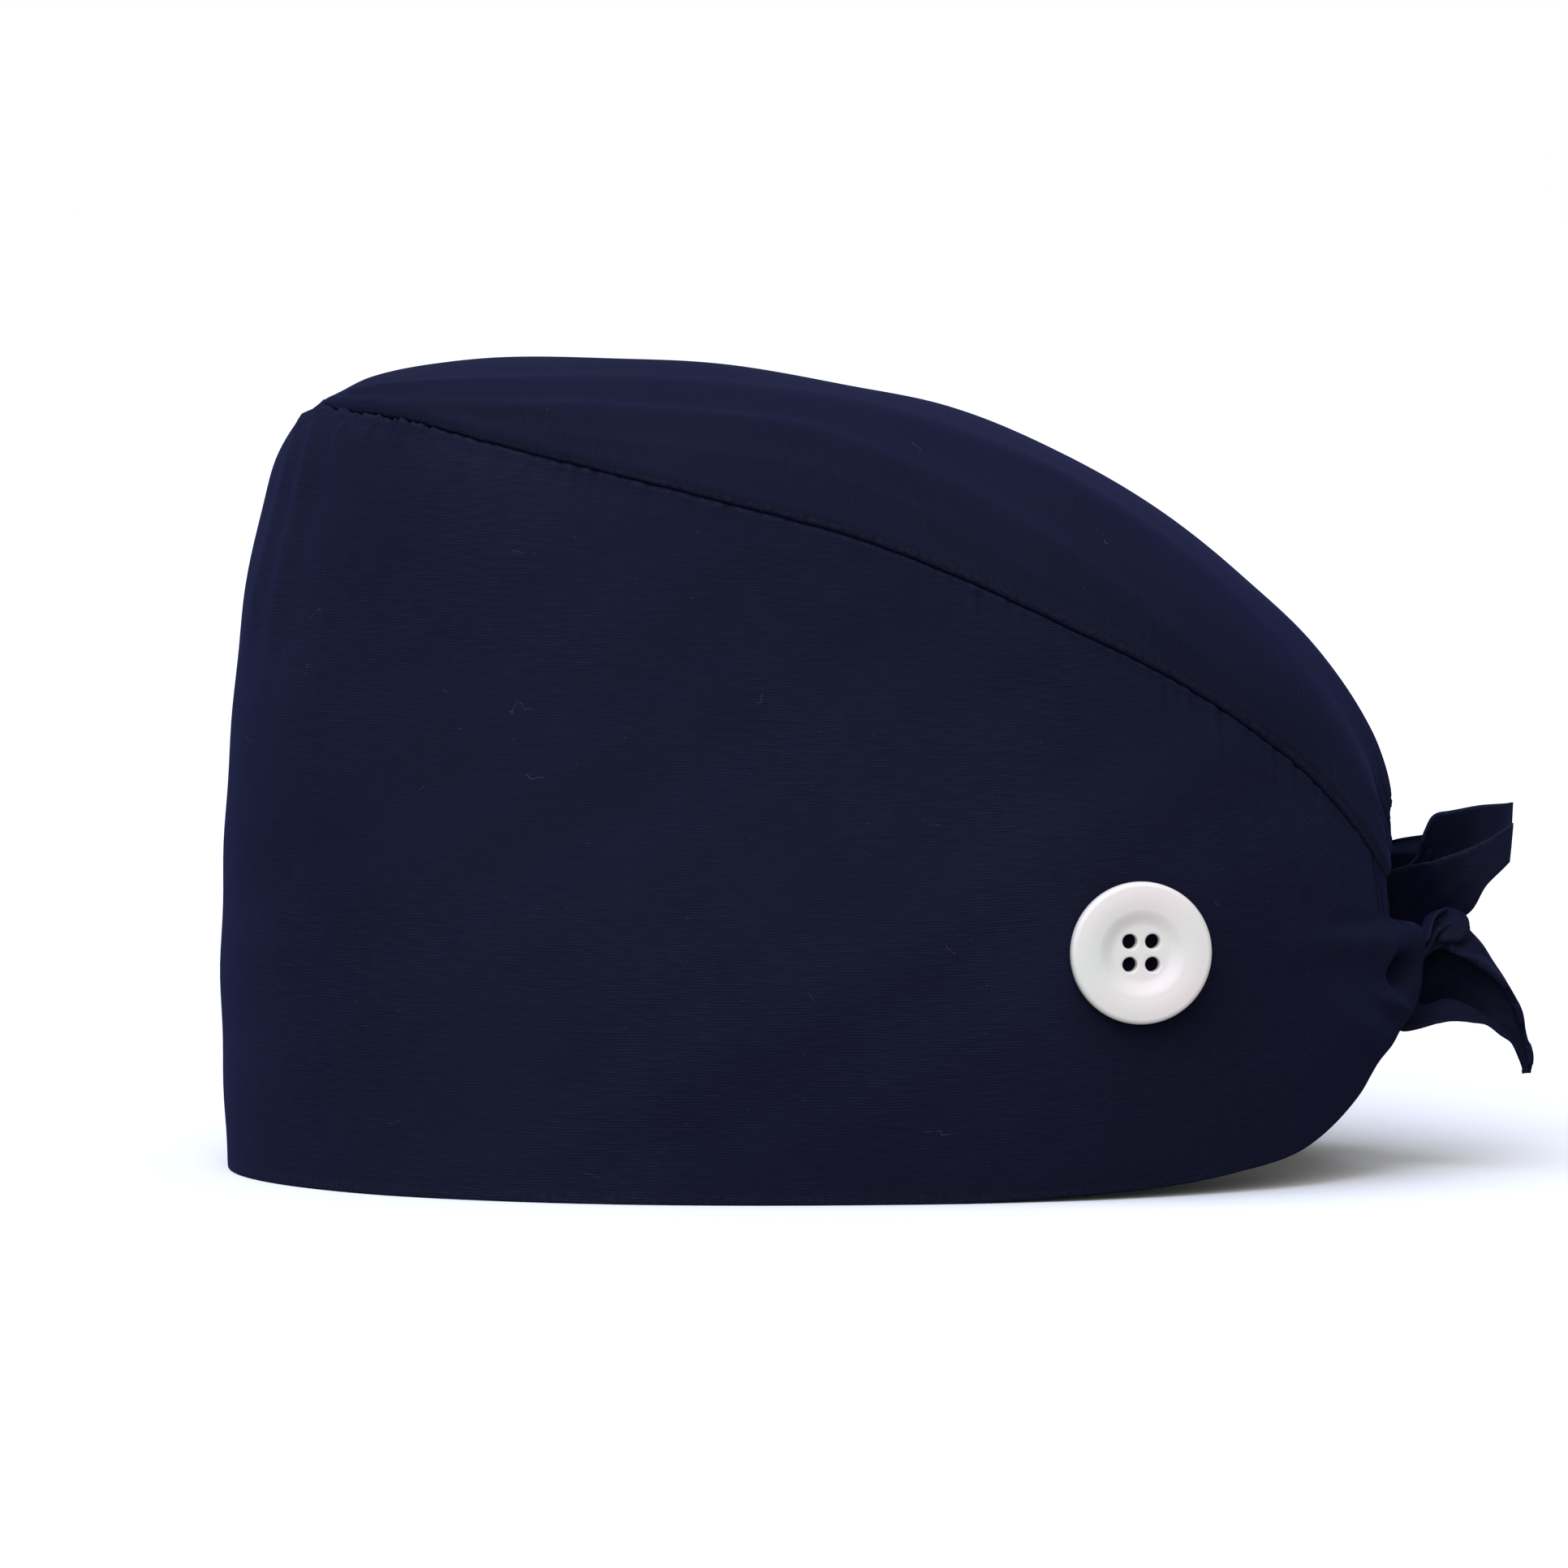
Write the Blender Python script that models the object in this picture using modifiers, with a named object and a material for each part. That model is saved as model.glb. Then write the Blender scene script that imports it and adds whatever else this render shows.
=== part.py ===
"""Scrub cap with ties at the back and a round button on each side for a mask's ear loops.

The cap stands on its rim with its front towards -Y and the wearer's left towards +X, in metres.
The side band and the crown panel share one table of stations, so they meet along the same seam.
"""
import math

import bmesh
import bpy
import numpy as np
from mathutils import Vector

# Cap
HALF_WIDTH = 0.082
DEPTH = 0.241
BAND_HEIGHT = 0.1545
CROWN_RISE = 0.0320
BAND_BULGE = 0.0105
CLOTH = 0.0015
GAP = 0.0003
CROWN_FULLNESS = 2.3
FOREHEAD_MITRE = math.radians(52)

# Gathers at the back of the band and of the crown
END_ROLL = 0.0095
END_ROLL_LENGTH = 0.022
BAND_FOLD = 0.005
CROWN_FOLD = 0.0040
CROWN_FOLD_REACH = 0.085
CROWN_FOLD_FADE = 1.5

# Ties. Bow is a share of a tie's span, mouth is the share of the knot's height that the left tie is gathered into,
# and join is the stretch of the upper tail's start that the right tie runs on into.
TIE_CLOTH = 0.0012
TIE_BOW = 0.36
TIE_SPREAD = 0.0085
LEFT_TIE_MOUTH = 0.72
RIGHT_TIE_JOIN = (0.02, 0.98)
LEFT_TIE_ARRIVAL = (-1.0, 0.0, 0.0)
RIGHT_TIE_ARRIVAL = (0.8, 0.6, 0.0)
KNOT_WIDTH = 0.014
KNOT_DEPTH = 0.0122
KNOT_HEIGHT = 0.0092
KNOT_BACK = 0.0054
KNOT_LEVEL = 0.049
KNOT_BOXINESS = 2.8
KNOT_WRAPS = 2.6
KNOT_WRAP_DEPTH = 0.10
UPPER_TAIL_REACH = 0.0152
UPPER_TAIL_RISE = 0.0248
LOWER_TAIL_REACH = 0.0195
LOWER_TAIL_DROP = 0.0307

# Buttons
BUTTON_RADIUS = 0.01395
BUTTON_THICKNESS = 0.0042
BUTTON_DISH_RADIUS = 0.0087
BUTTON_FLAT_RADIUS = 0.0057
BUTTON_FLAT_THICKNESS = 0.0025
BUTTON_HOLE_RADIUS = 0.0014
BUTTON_HOLE_PITCH = 0.0045
BUTTON_BACK = 0.1831
BUTTON_LEVEL = 0.0493
BUTTON_YAW = math.radians(9)
STEM_RADIUS = 0.0015
STEM_LEAST = 0.0012
STEM_SEAT_EASE = 0.0008
STEM_SEAT_DEPTH = 0.0003

# Levels on the button's edge as shares of its thickness, and radii of its back as shares of its radius
DISH_LEVEL = 0.90
EDGE_LEVEL = 0.45
BACK_LEVEL = 0.12
BACK_ROUND = 0.96
BACK_FLAT = 0.88

# Mesh density
BAND_ROWS = 18
SIDE_COLUMNS = 20
END_COLUMNS = 15
END_LENGTH = 0.060
END_GRADING = 1.3
CROWN_SLICES = 18
BUTTON_STEPS = 28
BUTTON_EDGE_STEPS = 4
HOLE_SIDES = 12
STEM_SIDES = 14
SEAT_SAMPLES = (400, 200)
TIE_ROWS = 5
TIE_STEPS = 8
TAIL_COLUMNS = 9
KNOT_SIDES = 20
KNOT_RINGS = 12
SLOPE_STEP = 0.001
SHARP_ANGLE = math.radians(40)

# A row for each station from the centre front to the band's back end. The rim and seam columns are shares of
# HALF_WIDTH, DEPTH and BAND_HEIGHT, bulge is a share of BAND_BULGE, and rise and lean place the crown's crest
# over the seam in shares of CROWN_RISE. Corner is 1 where the band rounds over at the forehead, 0 at the sides.
STATIONS = [
    # rim_x, rim_y, rim_z, seam_x, seam_y, seam_z, bulge, corner, rise, lean
    (0.000, 0.006, 0.000, 0.000, 0.085, 1.000, 1.00, 1.00, 0.00, 0.00),
    (0.268, 0.021, 0.000, 0.195, 0.098, 0.999, 1.00, 1.00, 0.07, 0.03),
    (0.512, 0.064, 0.000, 0.366, 0.122, 0.995, 0.92, 0.80, 0.18, 0.05),
    (0.732, 0.137, 0.000, 0.537, 0.166, 0.985, 0.80, 0.50, 0.30, 0.06),
    (0.878, 0.228, 0.000, 0.671, 0.232, 0.958, 0.70, 0.20, 0.48, 0.06),
    (0.970, 0.332, 0.000, 0.774, 0.328, 0.921, 0.62, 0.00, 0.66, 0.03),
    (1.000, 0.427, 0.000, 0.835, 0.427, 0.883, 0.62, 0.00, 0.80, 0.00),
    (0.994, 0.519, 0.000, 0.854, 0.528, 0.841, 0.62, 0.00, 0.88, 0.00),
    (0.963, 0.614, 0.000, 0.841, 0.614, 0.790, 0.62, 0.00, 0.97, 0.00),
    (0.896, 0.710, 0.006, 0.799, 0.705, 0.724, 0.62, 0.00, 1.00, 0.03),
    (0.805, 0.782, 0.013, 0.732, 0.784, 0.663, 0.57, 0.00, 0.94, 0.03),
    (0.695, 0.844, 0.026, 0.640, 0.852, 0.595, 0.48, 0.00, 0.85, 0.05),
    (0.561, 0.902, 0.050, 0.537, 0.905, 0.528, 0.38, 0.00, 0.72, 0.09),
    (0.402, 0.951, 0.110, 0.433, 0.946, 0.456, 0.24, 0.00, 0.49, 0.12),
    (0.244, 0.980, 0.185, 0.341, 0.966, 0.392, 0.00, 0.00, 0.23, 0.11),
]
RIM_X, RIM_Y, RIM_Z, SEAM_X, SEAM_Y, SEAM_Z, BULGE, CORNER, RISE, LEAN = range(10)

# How far the band swells on its way from the rim (0) to the seam (1), at the forehead.
FOREHEAD_PROFILE = [
    # up, swell
    (0.00, 0.00), (0.25, 0.57), (0.50, 0.89), (0.70, 1.00), (0.80, 0.97), (0.885, 0.77), (0.94, 0.52), (1.00, 0.00),
]

# How far the band's back end rolls out behind its straight edge, from the rim (0) to the seam (1).
ROLL_PROFILE = [
    # up, roll
    (0.00, 0.00), (0.11, 0.58), (0.24, 0.88), (0.42, 1.00), (0.60, 0.97), (0.70, 0.74), (0.79, 0.14), (0.87, 0.02),
    (1.00, 0.00),
]

# Folds pressed into the gathered end of the band. Places and lengths are shares of DEPTH and BAND_HEIGHT, turn is
# the fold's slope in degrees, and push is a share of BAND_FOLD, outwards where it is above 0.
BAND_FOLDS = [
    # back, level, length, width, turn, push
    (0.958, 0.318, 0.070, 0.026, -3, 0.42),
    (0.950, 0.368, 0.055, 0.022, -3, -0.26),
    (0.983, 0.268, 0.013, 0.034, 0, -1.00),
    (0.968, 0.205, 0.040, 0.028, -35, 0.28),
]

# Lengthwise gathers of the crown at its back hem. Across is the place on the hem, from the middle (0) to the seam
# (1), width is a share of the hem's half, and push is a share of CROWN_FOLD.
CROWN_FOLDS = [
    # across, width, push
    (0.00, 0.16, -1.00),
    (0.36, 0.15, 0.45),
    (0.66, 0.12, -0.50),
    (0.86, 0.10, 0.20),
]

# Sections of the two tails, from the knot to the tip. Each holds the near edge, the lengthwise fold and the far edge
# of the strip: x in shares of TIE_SPREAD, y and z from the knot's centre in shares of the tail's reach and rise.
UPPER_TAIL = [
    # near_x, near_y, near_z, fold_x, fold_y, fold_z, far_x, far_y, far_z
    (0.60, -0.40, 0.47, 0.05, -0.19, 0.215, -0.41, -0.20, 0.73),
    (0.94, -0.02, 0.55, 0.23, 0.17, 0.205, -0.47, -0.02, 0.90),
    (1.00, 0.37, 0.64, 0.35, 0.50, 0.26, -0.53, 0.31, 0.94),
    (0.94, 0.70, 0.71, 0.29, 0.73, 0.40, -0.53, 0.66, 0.97),
    (0.82, 1.00, 0.78, 0.18, 0.96, 0.53, -0.47, 1.00, 1.00),
]
LOWER_TAIL = [
    # near_x, near_y, near_z, fold_x, fold_y, fold_z, far_x, far_y, far_z
    (0.35, -0.46, -0.69, -0.55, -0.42, -0.46, 0.10, -0.33, -0.170),
    (0.60, 0.00, -0.65, -0.60, 0.06, -0.44, 0.18, 0.10, -0.165),
    (0.65, 0.26, -0.64, -0.58, 0.32, -0.38, 0.30, 0.40, -0.07),
    (0.62, 0.51, -0.66, -0.50, 0.50, -0.42, 0.38, 0.53, -0.17),
    (0.50, 0.69, -0.71, -0.40, 0.68, -0.54, 0.40, 0.69, -0.34),
    (0.35, 0.80, -0.77, -0.28, 0.81, -0.64, 0.34, 0.82, -0.49),
    (0.18, 0.87, -0.89, -0.12, 0.91, -0.80, 0.22, 0.93, -0.70),
    (0.02, 0.92, -1.00, 0.00, 0.96, -0.945, 0.10, 1.00, -0.88),
]

# Where each tie is sewn on: its lower and upper edge, as shares of the height of the band's back end. Climb is the
# slope at which each of the two edges leaves the band.
LEFT_TIE_SEAT = (0.28, 0.56)
LEFT_TIE_CLIMB = (0.0, 0.0)
RIGHT_TIE_SEAT = (0.84, 1.00)
RIGHT_TIE_CLIMB = (-0.5, 1.1)

CLOTH_COLOUR = (0.0103, 0.0116, 0.0296, 1.0)
TIE_COLOUR = (0.0090, 0.0100, 0.0240, 1.0)
BUTTON_COLOUR = (0.76, 0.75, 0.75, 1.0)
CLOTH_ROUGHNESS = 0.9
BUTTON_ROUGHNESS = 0.3


def clear_scene():
    """Removes every object of the scene."""
    for thing in list(bpy.data.objects):
        bpy.data.objects.remove(thing, do_unlink=True)


def follow(knots, rows, places):
    """Reads smooth values between rows: a curve through them whose slope at a row comes from its neighbours."""
    knots, rows, places = (np.asarray(values, float) for values in (knots, rows, places))
    slopes = np.empty_like(rows)
    slopes[1:-1] = (rows[2:] - rows[:-2]) / (knots[2:] - knots[:-2])[:, None]
    slopes[0] = (rows[1] - rows[0]) / (knots[1] - knots[0])
    slopes[-1] = (rows[-1] - rows[-2]) / (knots[-1] - knots[-2])
    first = np.clip(np.searchsorted(knots, places, side="right") - 1, 0, len(knots) - 2)
    span = knots[first + 1] - knots[first]
    share = ((places - knots[first]) / span)[:, None]
    span = span[:, None]
    return ((2 * share**3 - 3 * share**2 + 1) * rows[first]
            + (share**3 - 2 * share**2 + share) * span * slopes[first]
            + (3 * share**2 - 2 * share**3) * rows[first + 1]
            + (share**3 - share**2) * span * slopes[first + 1])


def read_profile(profile, places):
    """Reads a two-column table at places between 0 and 1."""
    table = np.array(profile)
    return follow(table[:, 0], table[:, 1:], np.clip(np.ravel(places), 0, 1)).reshape(np.shape(places))


def station_sizes():
    """Gives the stations in metres, from the right end over the front to the left end, and their places."""
    scale = [HALF_WIDTH, DEPTH, BAND_HEIGHT, HALF_WIDTH, DEPTH, BAND_HEIGHT, BAND_BULGE, 1, CROWN_RISE, CROWN_RISE]
    left = np.array(STATIONS) * scale
    right = left[:0:-1].copy()
    right[:, [RIM_X, SEAM_X]] *= -1
    rows = np.vstack([right, left])
    steps = np.linalg.norm(np.diff(rows[:, :6], axis=0), axis=1)
    places = np.concatenate([[0], np.cumsum(steps)])
    return places - places[-1] / 2, rows


def stations_at(places):
    """Gives the station values at distances along the band, measured from the centre front."""
    knots, rows = station_sizes()
    return follow(knots, rows, places)


def band_length():
    """Gives the distance from the centre front to a back end, along the band."""
    return station_sizes()[0][-1]


def band_places():
    """Gives the columns' distances along the band, with close columns at the gathered ends."""
    length = band_length()
    side = np.linspace(0, length - END_LENGTH, SIDE_COLUMNS)
    end = length - END_LENGTH * np.linspace(1, 0, END_COLUMNS + 1)[1:] ** END_GRADING
    half = np.concatenate([side, end])
    return np.concatenate([-half[:0:-1], half])


def surface_normals(grid):
    """Gives unit normals of a grid of points, along the first direction crossed with the second."""
    along = np.gradient(grid, axis=0)
    across = np.gradient(grid, axis=1)
    normals = np.cross(along, across)
    return normals / np.maximum(np.linalg.norm(normals, axis=2, keepdims=True), 1e-12)


def fold_push(points):
    """Gives the outward push of the folds in the band's gathered ends."""
    push = np.zeros(points.shape[:2])
    for back, level, length, width, turn, share in BAND_FOLDS:
        dy = points[..., 1] - back * DEPTH
        dz = points[..., 2] - level * BAND_HEIGHT
        turned = math.radians(turn)
        along = (dy * math.cos(turned) + dz * math.sin(turned)) / (length * DEPTH)
        across = (dz * math.cos(turned) - dy * math.sin(turned)) / (width * BAND_HEIGHT)
        push += share * BAND_FOLD * np.exp(-along**2 - across**2)
    return push


def band_surface(places, heights):
    """Gives the band's outer surface: a column of points for each place, from the rim (0) to the seam (1)."""
    rows = stations_at(places)
    rows[:, RIM_Z] = np.maximum(rows[:, RIM_Z], 0)
    rim = rows[:, None, RIM_X:RIM_Z + 1]
    seam = rows[:, None, SEAM_X:SEAM_Z + 1]
    up = heights[None, :, None]
    points = rim + (seam - rim) * up
    run = np.gradient(points, axis=0)
    outward = np.stack([run[..., 1], -run[..., 0], np.zeros(run.shape[:2])], axis=2)
    outward /= np.linalg.norm(outward, axis=2, keepdims=True)
    corner = rows[:, None, CORNER]
    swell = corner * read_profile(FOREHEAD_PROFILE, heights) + (1 - corner) * 4 * heights * (1 - heights)
    points = points + outward * (rows[:, None, BULGE] * swell)[..., None]
    nearness = np.clip(1 - (band_length() - np.abs(places)) / END_ROLL_LENGTH, 0, 1)
    roll = END_ROLL * (nearness**2 * (3 - 2 * nearness))[:, None] * read_profile(ROLL_PROFILE, heights)
    inwards = -np.sign(places)[:, None] * math.sqrt(0.5)
    points = points + roll[..., None] * np.stack(
        [np.broadcast_to(inwards, roll.shape), np.full(roll.shape, math.sqrt(0.5)), np.zeros(roll.shape)], axis=2)
    return points + surface_normals(points) * fold_push(points)[..., None]


def crown_surface(places, turns):
    """Gives the crown's outer surface: an arch over the cap at each place, from the left seam (0) to the right (1)."""
    rows = stations_at(places)
    seam = rows[:, None, SEAM_X:SEAM_Z + 1]
    angle = math.pi * turns[None, :]
    spread = np.sign(np.cos(angle)) * np.abs(np.cos(angle)) ** (2 / CROWN_FULLNESS)
    lift = np.abs(np.sin(angle)) ** (2 / CROWN_FULLNESS)
    points = np.stack([
        seam[..., 0] * spread,
        seam[..., 1] + rows[:, None, LEAN] * lift,
        seam[..., 2] + rows[:, None, RISE] * lift,
    ], axis=2)
    nearness = np.clip(1 - (band_length() - places) / CROWN_FOLD_REACH, 0, 1)[:, None] ** CROWN_FOLD_FADE
    push = np.zeros(points.shape[:2])
    for across, width, share in CROWN_FOLDS:
        push += share * CROWN_FOLD * np.exp(-((np.abs(spread) - across) / width) ** 2)
    push = push * nearness * lift
    return points + surface_normals(points) * push[..., None]


def seam_frames(places):
    """Gives each seam point with its outward direction and the direction up across the seam."""
    rows = stations_at(places)
    seam = rows[:, SEAM_X:SEAM_Z + 1]
    ahead = stations_at(np.clip(places + SLOPE_STEP, -band_length(), band_length()))
    behind = stations_at(np.clip(places - SLOPE_STEP, -band_length(), band_length()))
    run = ahead[:, SEAM_X:SEAM_Z + 1] - behind[:, SEAM_X:SEAM_Z + 1]
    run /= np.linalg.norm(run, axis=1, keepdims=True)
    level = np.stack([run[:, 1], -run[:, 0], np.zeros(len(run))], axis=1)
    level /= np.linalg.norm(level, axis=1, keepdims=True)
    top = np.cross(level, run)
    top *= np.sign(top[:, 2:3])
    tip = (rows[:, CORNER] * FOREHEAD_MITRE)[:, None]
    outward = level * np.cos(tip) + top * np.sin(tip)
    up = top * np.cos(tip) - level * np.sin(tip)
    return seam, outward, up


def closed_wall(name, outer, inner, material):
    """Makes a closed wall between two matching grids of points, whose first rows may shrink to one point."""
    rows, columns = outer.shape[:2]
    work = bmesh.new()
    outside = [[work.verts.new(outer[r, c]) for c in range(columns)] for r in range(rows)]
    inside = [[work.verts.new(inner[r, c]) for c in range(columns)] for r in range(rows)]
    for r in range(rows - 1):
        for c in range(columns - 1):
            work.faces.new((outside[r][c], outside[r + 1][c], outside[r + 1][c + 1], outside[r][c + 1]))
            work.faces.new((inside[r][c], inside[r][c + 1], inside[r + 1][c + 1], inside[r + 1][c]))
    border = ([(0, c) for c in range(columns)] + [(r, columns - 1) for r in range(1, rows)]
              + [(rows - 1, c) for c in range(columns - 2, -1, -1)] + [(r, 0) for r in range(rows - 2, 0, -1)])
    for (r, c), (rr, cc) in zip(border, border[1:] + border[:1]):
        work.faces.new((outside[r][c], outside[rr][cc], inside[rr][cc], inside[r][c]))
    bmesh.ops.remove_doubles(work, verts=work.verts, dist=1e-6)
    bmesh.ops.recalc_face_normals(work, faces=work.faces)
    return object_from(work, name, material)


def object_from(work, name, material):
    """Turns a bmesh into an object with smooth shading and the material."""
    mesh = bpy.data.meshes.new(name)
    work.to_mesh(mesh)
    work.free()
    mesh.shade_smooth()
    mesh.set_sharp_from_angle(angle=SHARP_ANGLE)
    mesh.materials.append(material)
    return bpy.data.objects.new(name, mesh)


def make_material(name, colour, roughness):
    """Makes a plain Principled material."""
    material = bpy.data.materials.new(name)
    material.use_nodes = True
    shader = material.node_tree.nodes["Principled BSDF"]
    shader.inputs["Base Color"].default_value = colour
    shader.inputs["Roughness"].default_value = roughness
    shader.inputs["Metallic"].default_value = 0.0
    return material


def make_side_band(material):
    """Makes the side band: one wall from the rim to the seam, flat where it rests."""
    places = band_places()
    heights = np.linspace(0, 1, BAND_ROWS + 1)
    outer = band_surface(places, heights)
    seam, outward, up = seam_frames(places)
    normals = surface_normals(outer)
    flat = normals[:, 0].copy()
    flat[:, 2] = 0
    normals[:, 0] = flat / np.linalg.norm(flat, axis=1, keepdims=True)
    outer[:, -1] = seam - up * GAP / 2
    normals[:, -1] = outward
    return closed_wall("side_band", outer, outer - normals * CLOTH, material)


def make_crown_panel(material):
    """Makes the crown panel: arches from seam to seam, closed to a point at the front and open at the hem."""
    places = band_places()
    places = places[places >= 0]
    turns = np.linspace(0, 1, CROWN_SLICES + 1)
    outer = crown_surface(places, turns)
    normals = surface_normals(outer)
    for column, side in ((0, 1), (-1, -1)):
        seam, outward, up = seam_frames(places * side)
        outer[:, column] = seam + up * GAP / 2
        normals[:, column] = outward
    seam, outward, up = seam_frames(np.zeros(1))
    outer[0] = seam + up * GAP / 2
    normals[0] = outward
    return closed_wall("crown_panel", outer, outer - normals * CLOTH, material)


def knot_centre():
    """Gives the knot's centre."""
    return np.array([0.0, DEPTH + KNOT_BACK, KNOT_LEVEL])


def make_tie_knot(material):
    """Makes the knot: a rounded lump of cloth with two turns wrapped round it."""
    work = bmesh.new()
    bmesh.ops.create_uvsphere(work, u_segments=KNOT_SIDES, v_segments=KNOT_RINGS, radius=1.0)
    centre = knot_centre()
    for vert in work.verts:
        x, y, z = vert.co
        turn = 1 - KNOT_WRAP_DEPTH * math.cos(KNOT_WRAPS * math.pi * (x + z) / 2) ** 2
        boxy = sum(abs(share) ** KNOT_BOXINESS for share in (x, y, z)) ** (-1 / KNOT_BOXINESS)
        vert.co = Vector((centre[0] + x * boxy * KNOT_WIDTH / 2,
                          centre[1] + y * boxy * turn * KNOT_DEPTH / 2,
                          centre[2] + z * boxy * turn * KNOT_HEIGHT / 2))
    return object_from(work, "tie_knot", material)


def strip_from(name, grid, thickness, material, offset):
    """Makes an open strip of cloth from a grid of points and gives it its thickness."""
    rows, columns = grid.shape[:2]
    work = bmesh.new()
    verts = [[work.verts.new(grid[r, c]) for c in range(columns)] for r in range(rows)]
    for r in range(rows - 1):
        for c in range(columns - 1):
            work.faces.new((verts[r][c], verts[r + 1][c], verts[r + 1][c + 1], verts[r][c + 1]))
    strip = object_from(work, name, material)
    wall = strip.modifiers.new("cloth", "SOLIDIFY")
    wall.thickness = thickness
    wall.offset = offset
    wall.use_even_offset = True
    return strip


def make_tail(name, sections, reach, rise, material, offset):
    """Makes a tail: a strip folded lengthwise, lofted through its sections."""
    table = tail_sections(sections, reach, rise)
    steps = np.linspace(0, len(sections) - 1, 2 * len(sections) - 1)
    table = follow(np.arange(len(sections)), table.reshape(len(sections), 9), steps).reshape(-1, 3, 3)
    near, fold, far = table[:, None, 0], table[:, None, 1], table[:, None, 2]
    share = np.linspace(0, 1, TAIL_COLUMNS)[None, :, None]
    pull = 2 * fold - (near + far) / 2
    grid = (1 - share)**2 * near + 2 * share * (1 - share) * pull + share**2 * far
    return strip_from(name, grid, TIE_CLOTH, material, offset)


def tail_sections(sections, reach, rise):
    """Gives a tail's sections in metres: for each, its near edge, its fold and its far edge."""
    return np.array(sections).reshape(len(sections), 3, 3) * [TIE_SPREAD, reach, rise] + knot_centre()


def band_end_edge(side, seat):
    """Gives points up the middle of the wall at a back end of the band, and the wall's direction there."""
    places = band_length() - np.array([2 * SLOPE_STEP, SLOPE_STEP, 0.0])
    outer = band_surface(places, np.linspace(*seat, TIE_ROWS))
    run = outer[-1] - outer[0]
    run /= np.linalg.norm(run, axis=1, keepdims=True)
    middle = outer[-1] - surface_normals(outer)[-1] * CLOTH / 2
    return middle * [side, 1, 1], run * [side, 1, 1]


def make_tie(name, side, seat, climb, target, arrival, material):
    """Makes a tie: a strip that leaves the band's back end, bows out and arrives at the target edge.

    Climb is the slope at which its lower and its upper edge leave the band.
    """
    edge, run = band_end_edge(side, seat)
    start = edge + run * GAP
    bow = np.linalg.norm(target - start, axis=1, keepdims=True) * TIE_BOW
    share = np.linspace(0, 1, TIE_STEPS + 1)[:, None, None]
    leaving = run + np.linspace(*climb, TIE_ROWS)[:, None] * [0, 0, 1]
    grid = ((1 - share)**3 * start + 3 * share * (1 - share)**2 * (start + leaving * bow)
            + 3 * share**2 * (1 - share) * (target - arrival * bow) + share**3 * target)
    return strip_from(name, grid, TIE_CLOTH, material, 0.0)


def make_left_tie(material):
    """Makes the left tie, which is gathered into the side of the knot."""
    mouth = LEFT_TIE_MOUTH * KNOT_HEIGHT
    levels = np.linspace(-mouth / 2, mouth / 2, TIE_ROWS)[:, None] * [0, 0, 1]
    side = np.array([KNOT_WIDTH / 2 + GAP, 0, 0])
    target = knot_centre() + side + levels
    return make_tie("tie_left", 1, LEFT_TIE_SEAT, LEFT_TIE_CLIMB, target, np.array(LEFT_TIE_ARRIVAL), material)


def make_right_tie(material):
    """Makes the right tie, which rises behind the crown's hem and runs on into the upper tail."""
    fold, far = tail_sections(UPPER_TAIL, UPPER_TAIL_REACH, UPPER_TAIL_RISE)[0, 1:]
    share = np.linspace(*RIGHT_TIE_JOIN, TIE_ROWS)[:, None]
    beside = np.array([TIE_CLOTH + GAP, 0, 0])
    target = fold + (far - fold) * share - beside
    return make_tie("tie_right", -1, RIGHT_TIE_SEAT, RIGHT_TIE_CLIMB, target, np.array(RIGHT_TIE_ARRIVAL), material)


def button_places():
    """Gives the point of the left side where the button sits, the way it faces and its distance from the cloth.

    The button clears the cloth that bulges beside it, and leaves room for at least the shortest stem.
    """
    places = np.linspace(0, band_length(), SEAT_SAMPLES[0])
    heights = np.linspace(0, 1, SEAT_SAMPLES[1])
    grid = band_surface(places, heights)
    distance = (grid[..., 1] - BUTTON_BACK) ** 2 + (grid[..., 2] - BUTTON_LEVEL) ** 2
    nearest = np.unravel_index(np.argmin(distance), distance.shape)
    point = grid[nearest]
    axis = np.array([math.cos(BUTTON_YAW), math.sin(BUTTON_YAW), 0.0])
    offset = grid - point
    beside = np.linalg.norm(np.cross(offset, axis), axis=2) < BUTTON_RADIUS
    clear_of_cloth = (offset @ axis)[beside].max() + GAP
    return point, axis, max(clear_of_cloth, STEM_LEAST + stem_play())


def stem_play():
    """Gives what the stem leaves free of the button's distance: a gap at each end, and the slope of the cloth."""
    return 2 * GAP + STEM_RADIUS * math.sin(BUTTON_YAW)


def button_profile():
    """Gives the button's half outline, from the middle of its face round to the shallow seat of the stem."""
    rim_middle = (BUTTON_DISH_RADIUS + BUTTON_RADIUS) / 2
    edge = BUTTON_THICKNESS * EDGE_LEVEL
    outline = [(0, BUTTON_FLAT_THICKNESS), (BUTTON_FLAT_RADIUS, BUTTON_FLAT_THICKNESS),
               (BUTTON_DISH_RADIUS, BUTTON_THICKNESS * DISH_LEVEL), (rim_middle, BUTTON_THICKNESS)]
    for step in range(1, BUTTON_EDGE_STEPS + 1):
        angle = math.pi / 2 * step / BUTTON_EDGE_STEPS
        outline.append((rim_middle + (BUTTON_RADIUS - rim_middle) * math.sin(angle),
                        edge + (BUTTON_THICKNESS - edge) * math.cos(angle)))
    outline += [(BUTTON_RADIUS * BACK_ROUND, BUTTON_THICKNESS * BACK_LEVEL), (BUTTON_RADIUS * BACK_FLAT, 0),
                (STEM_RADIUS + STEM_SEAT_EASE, 0), (STEM_RADIUS + STEM_SEAT_EASE, STEM_SEAT_DEPTH), (0, STEM_SEAT_DEPTH)]
    return outline


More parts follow.
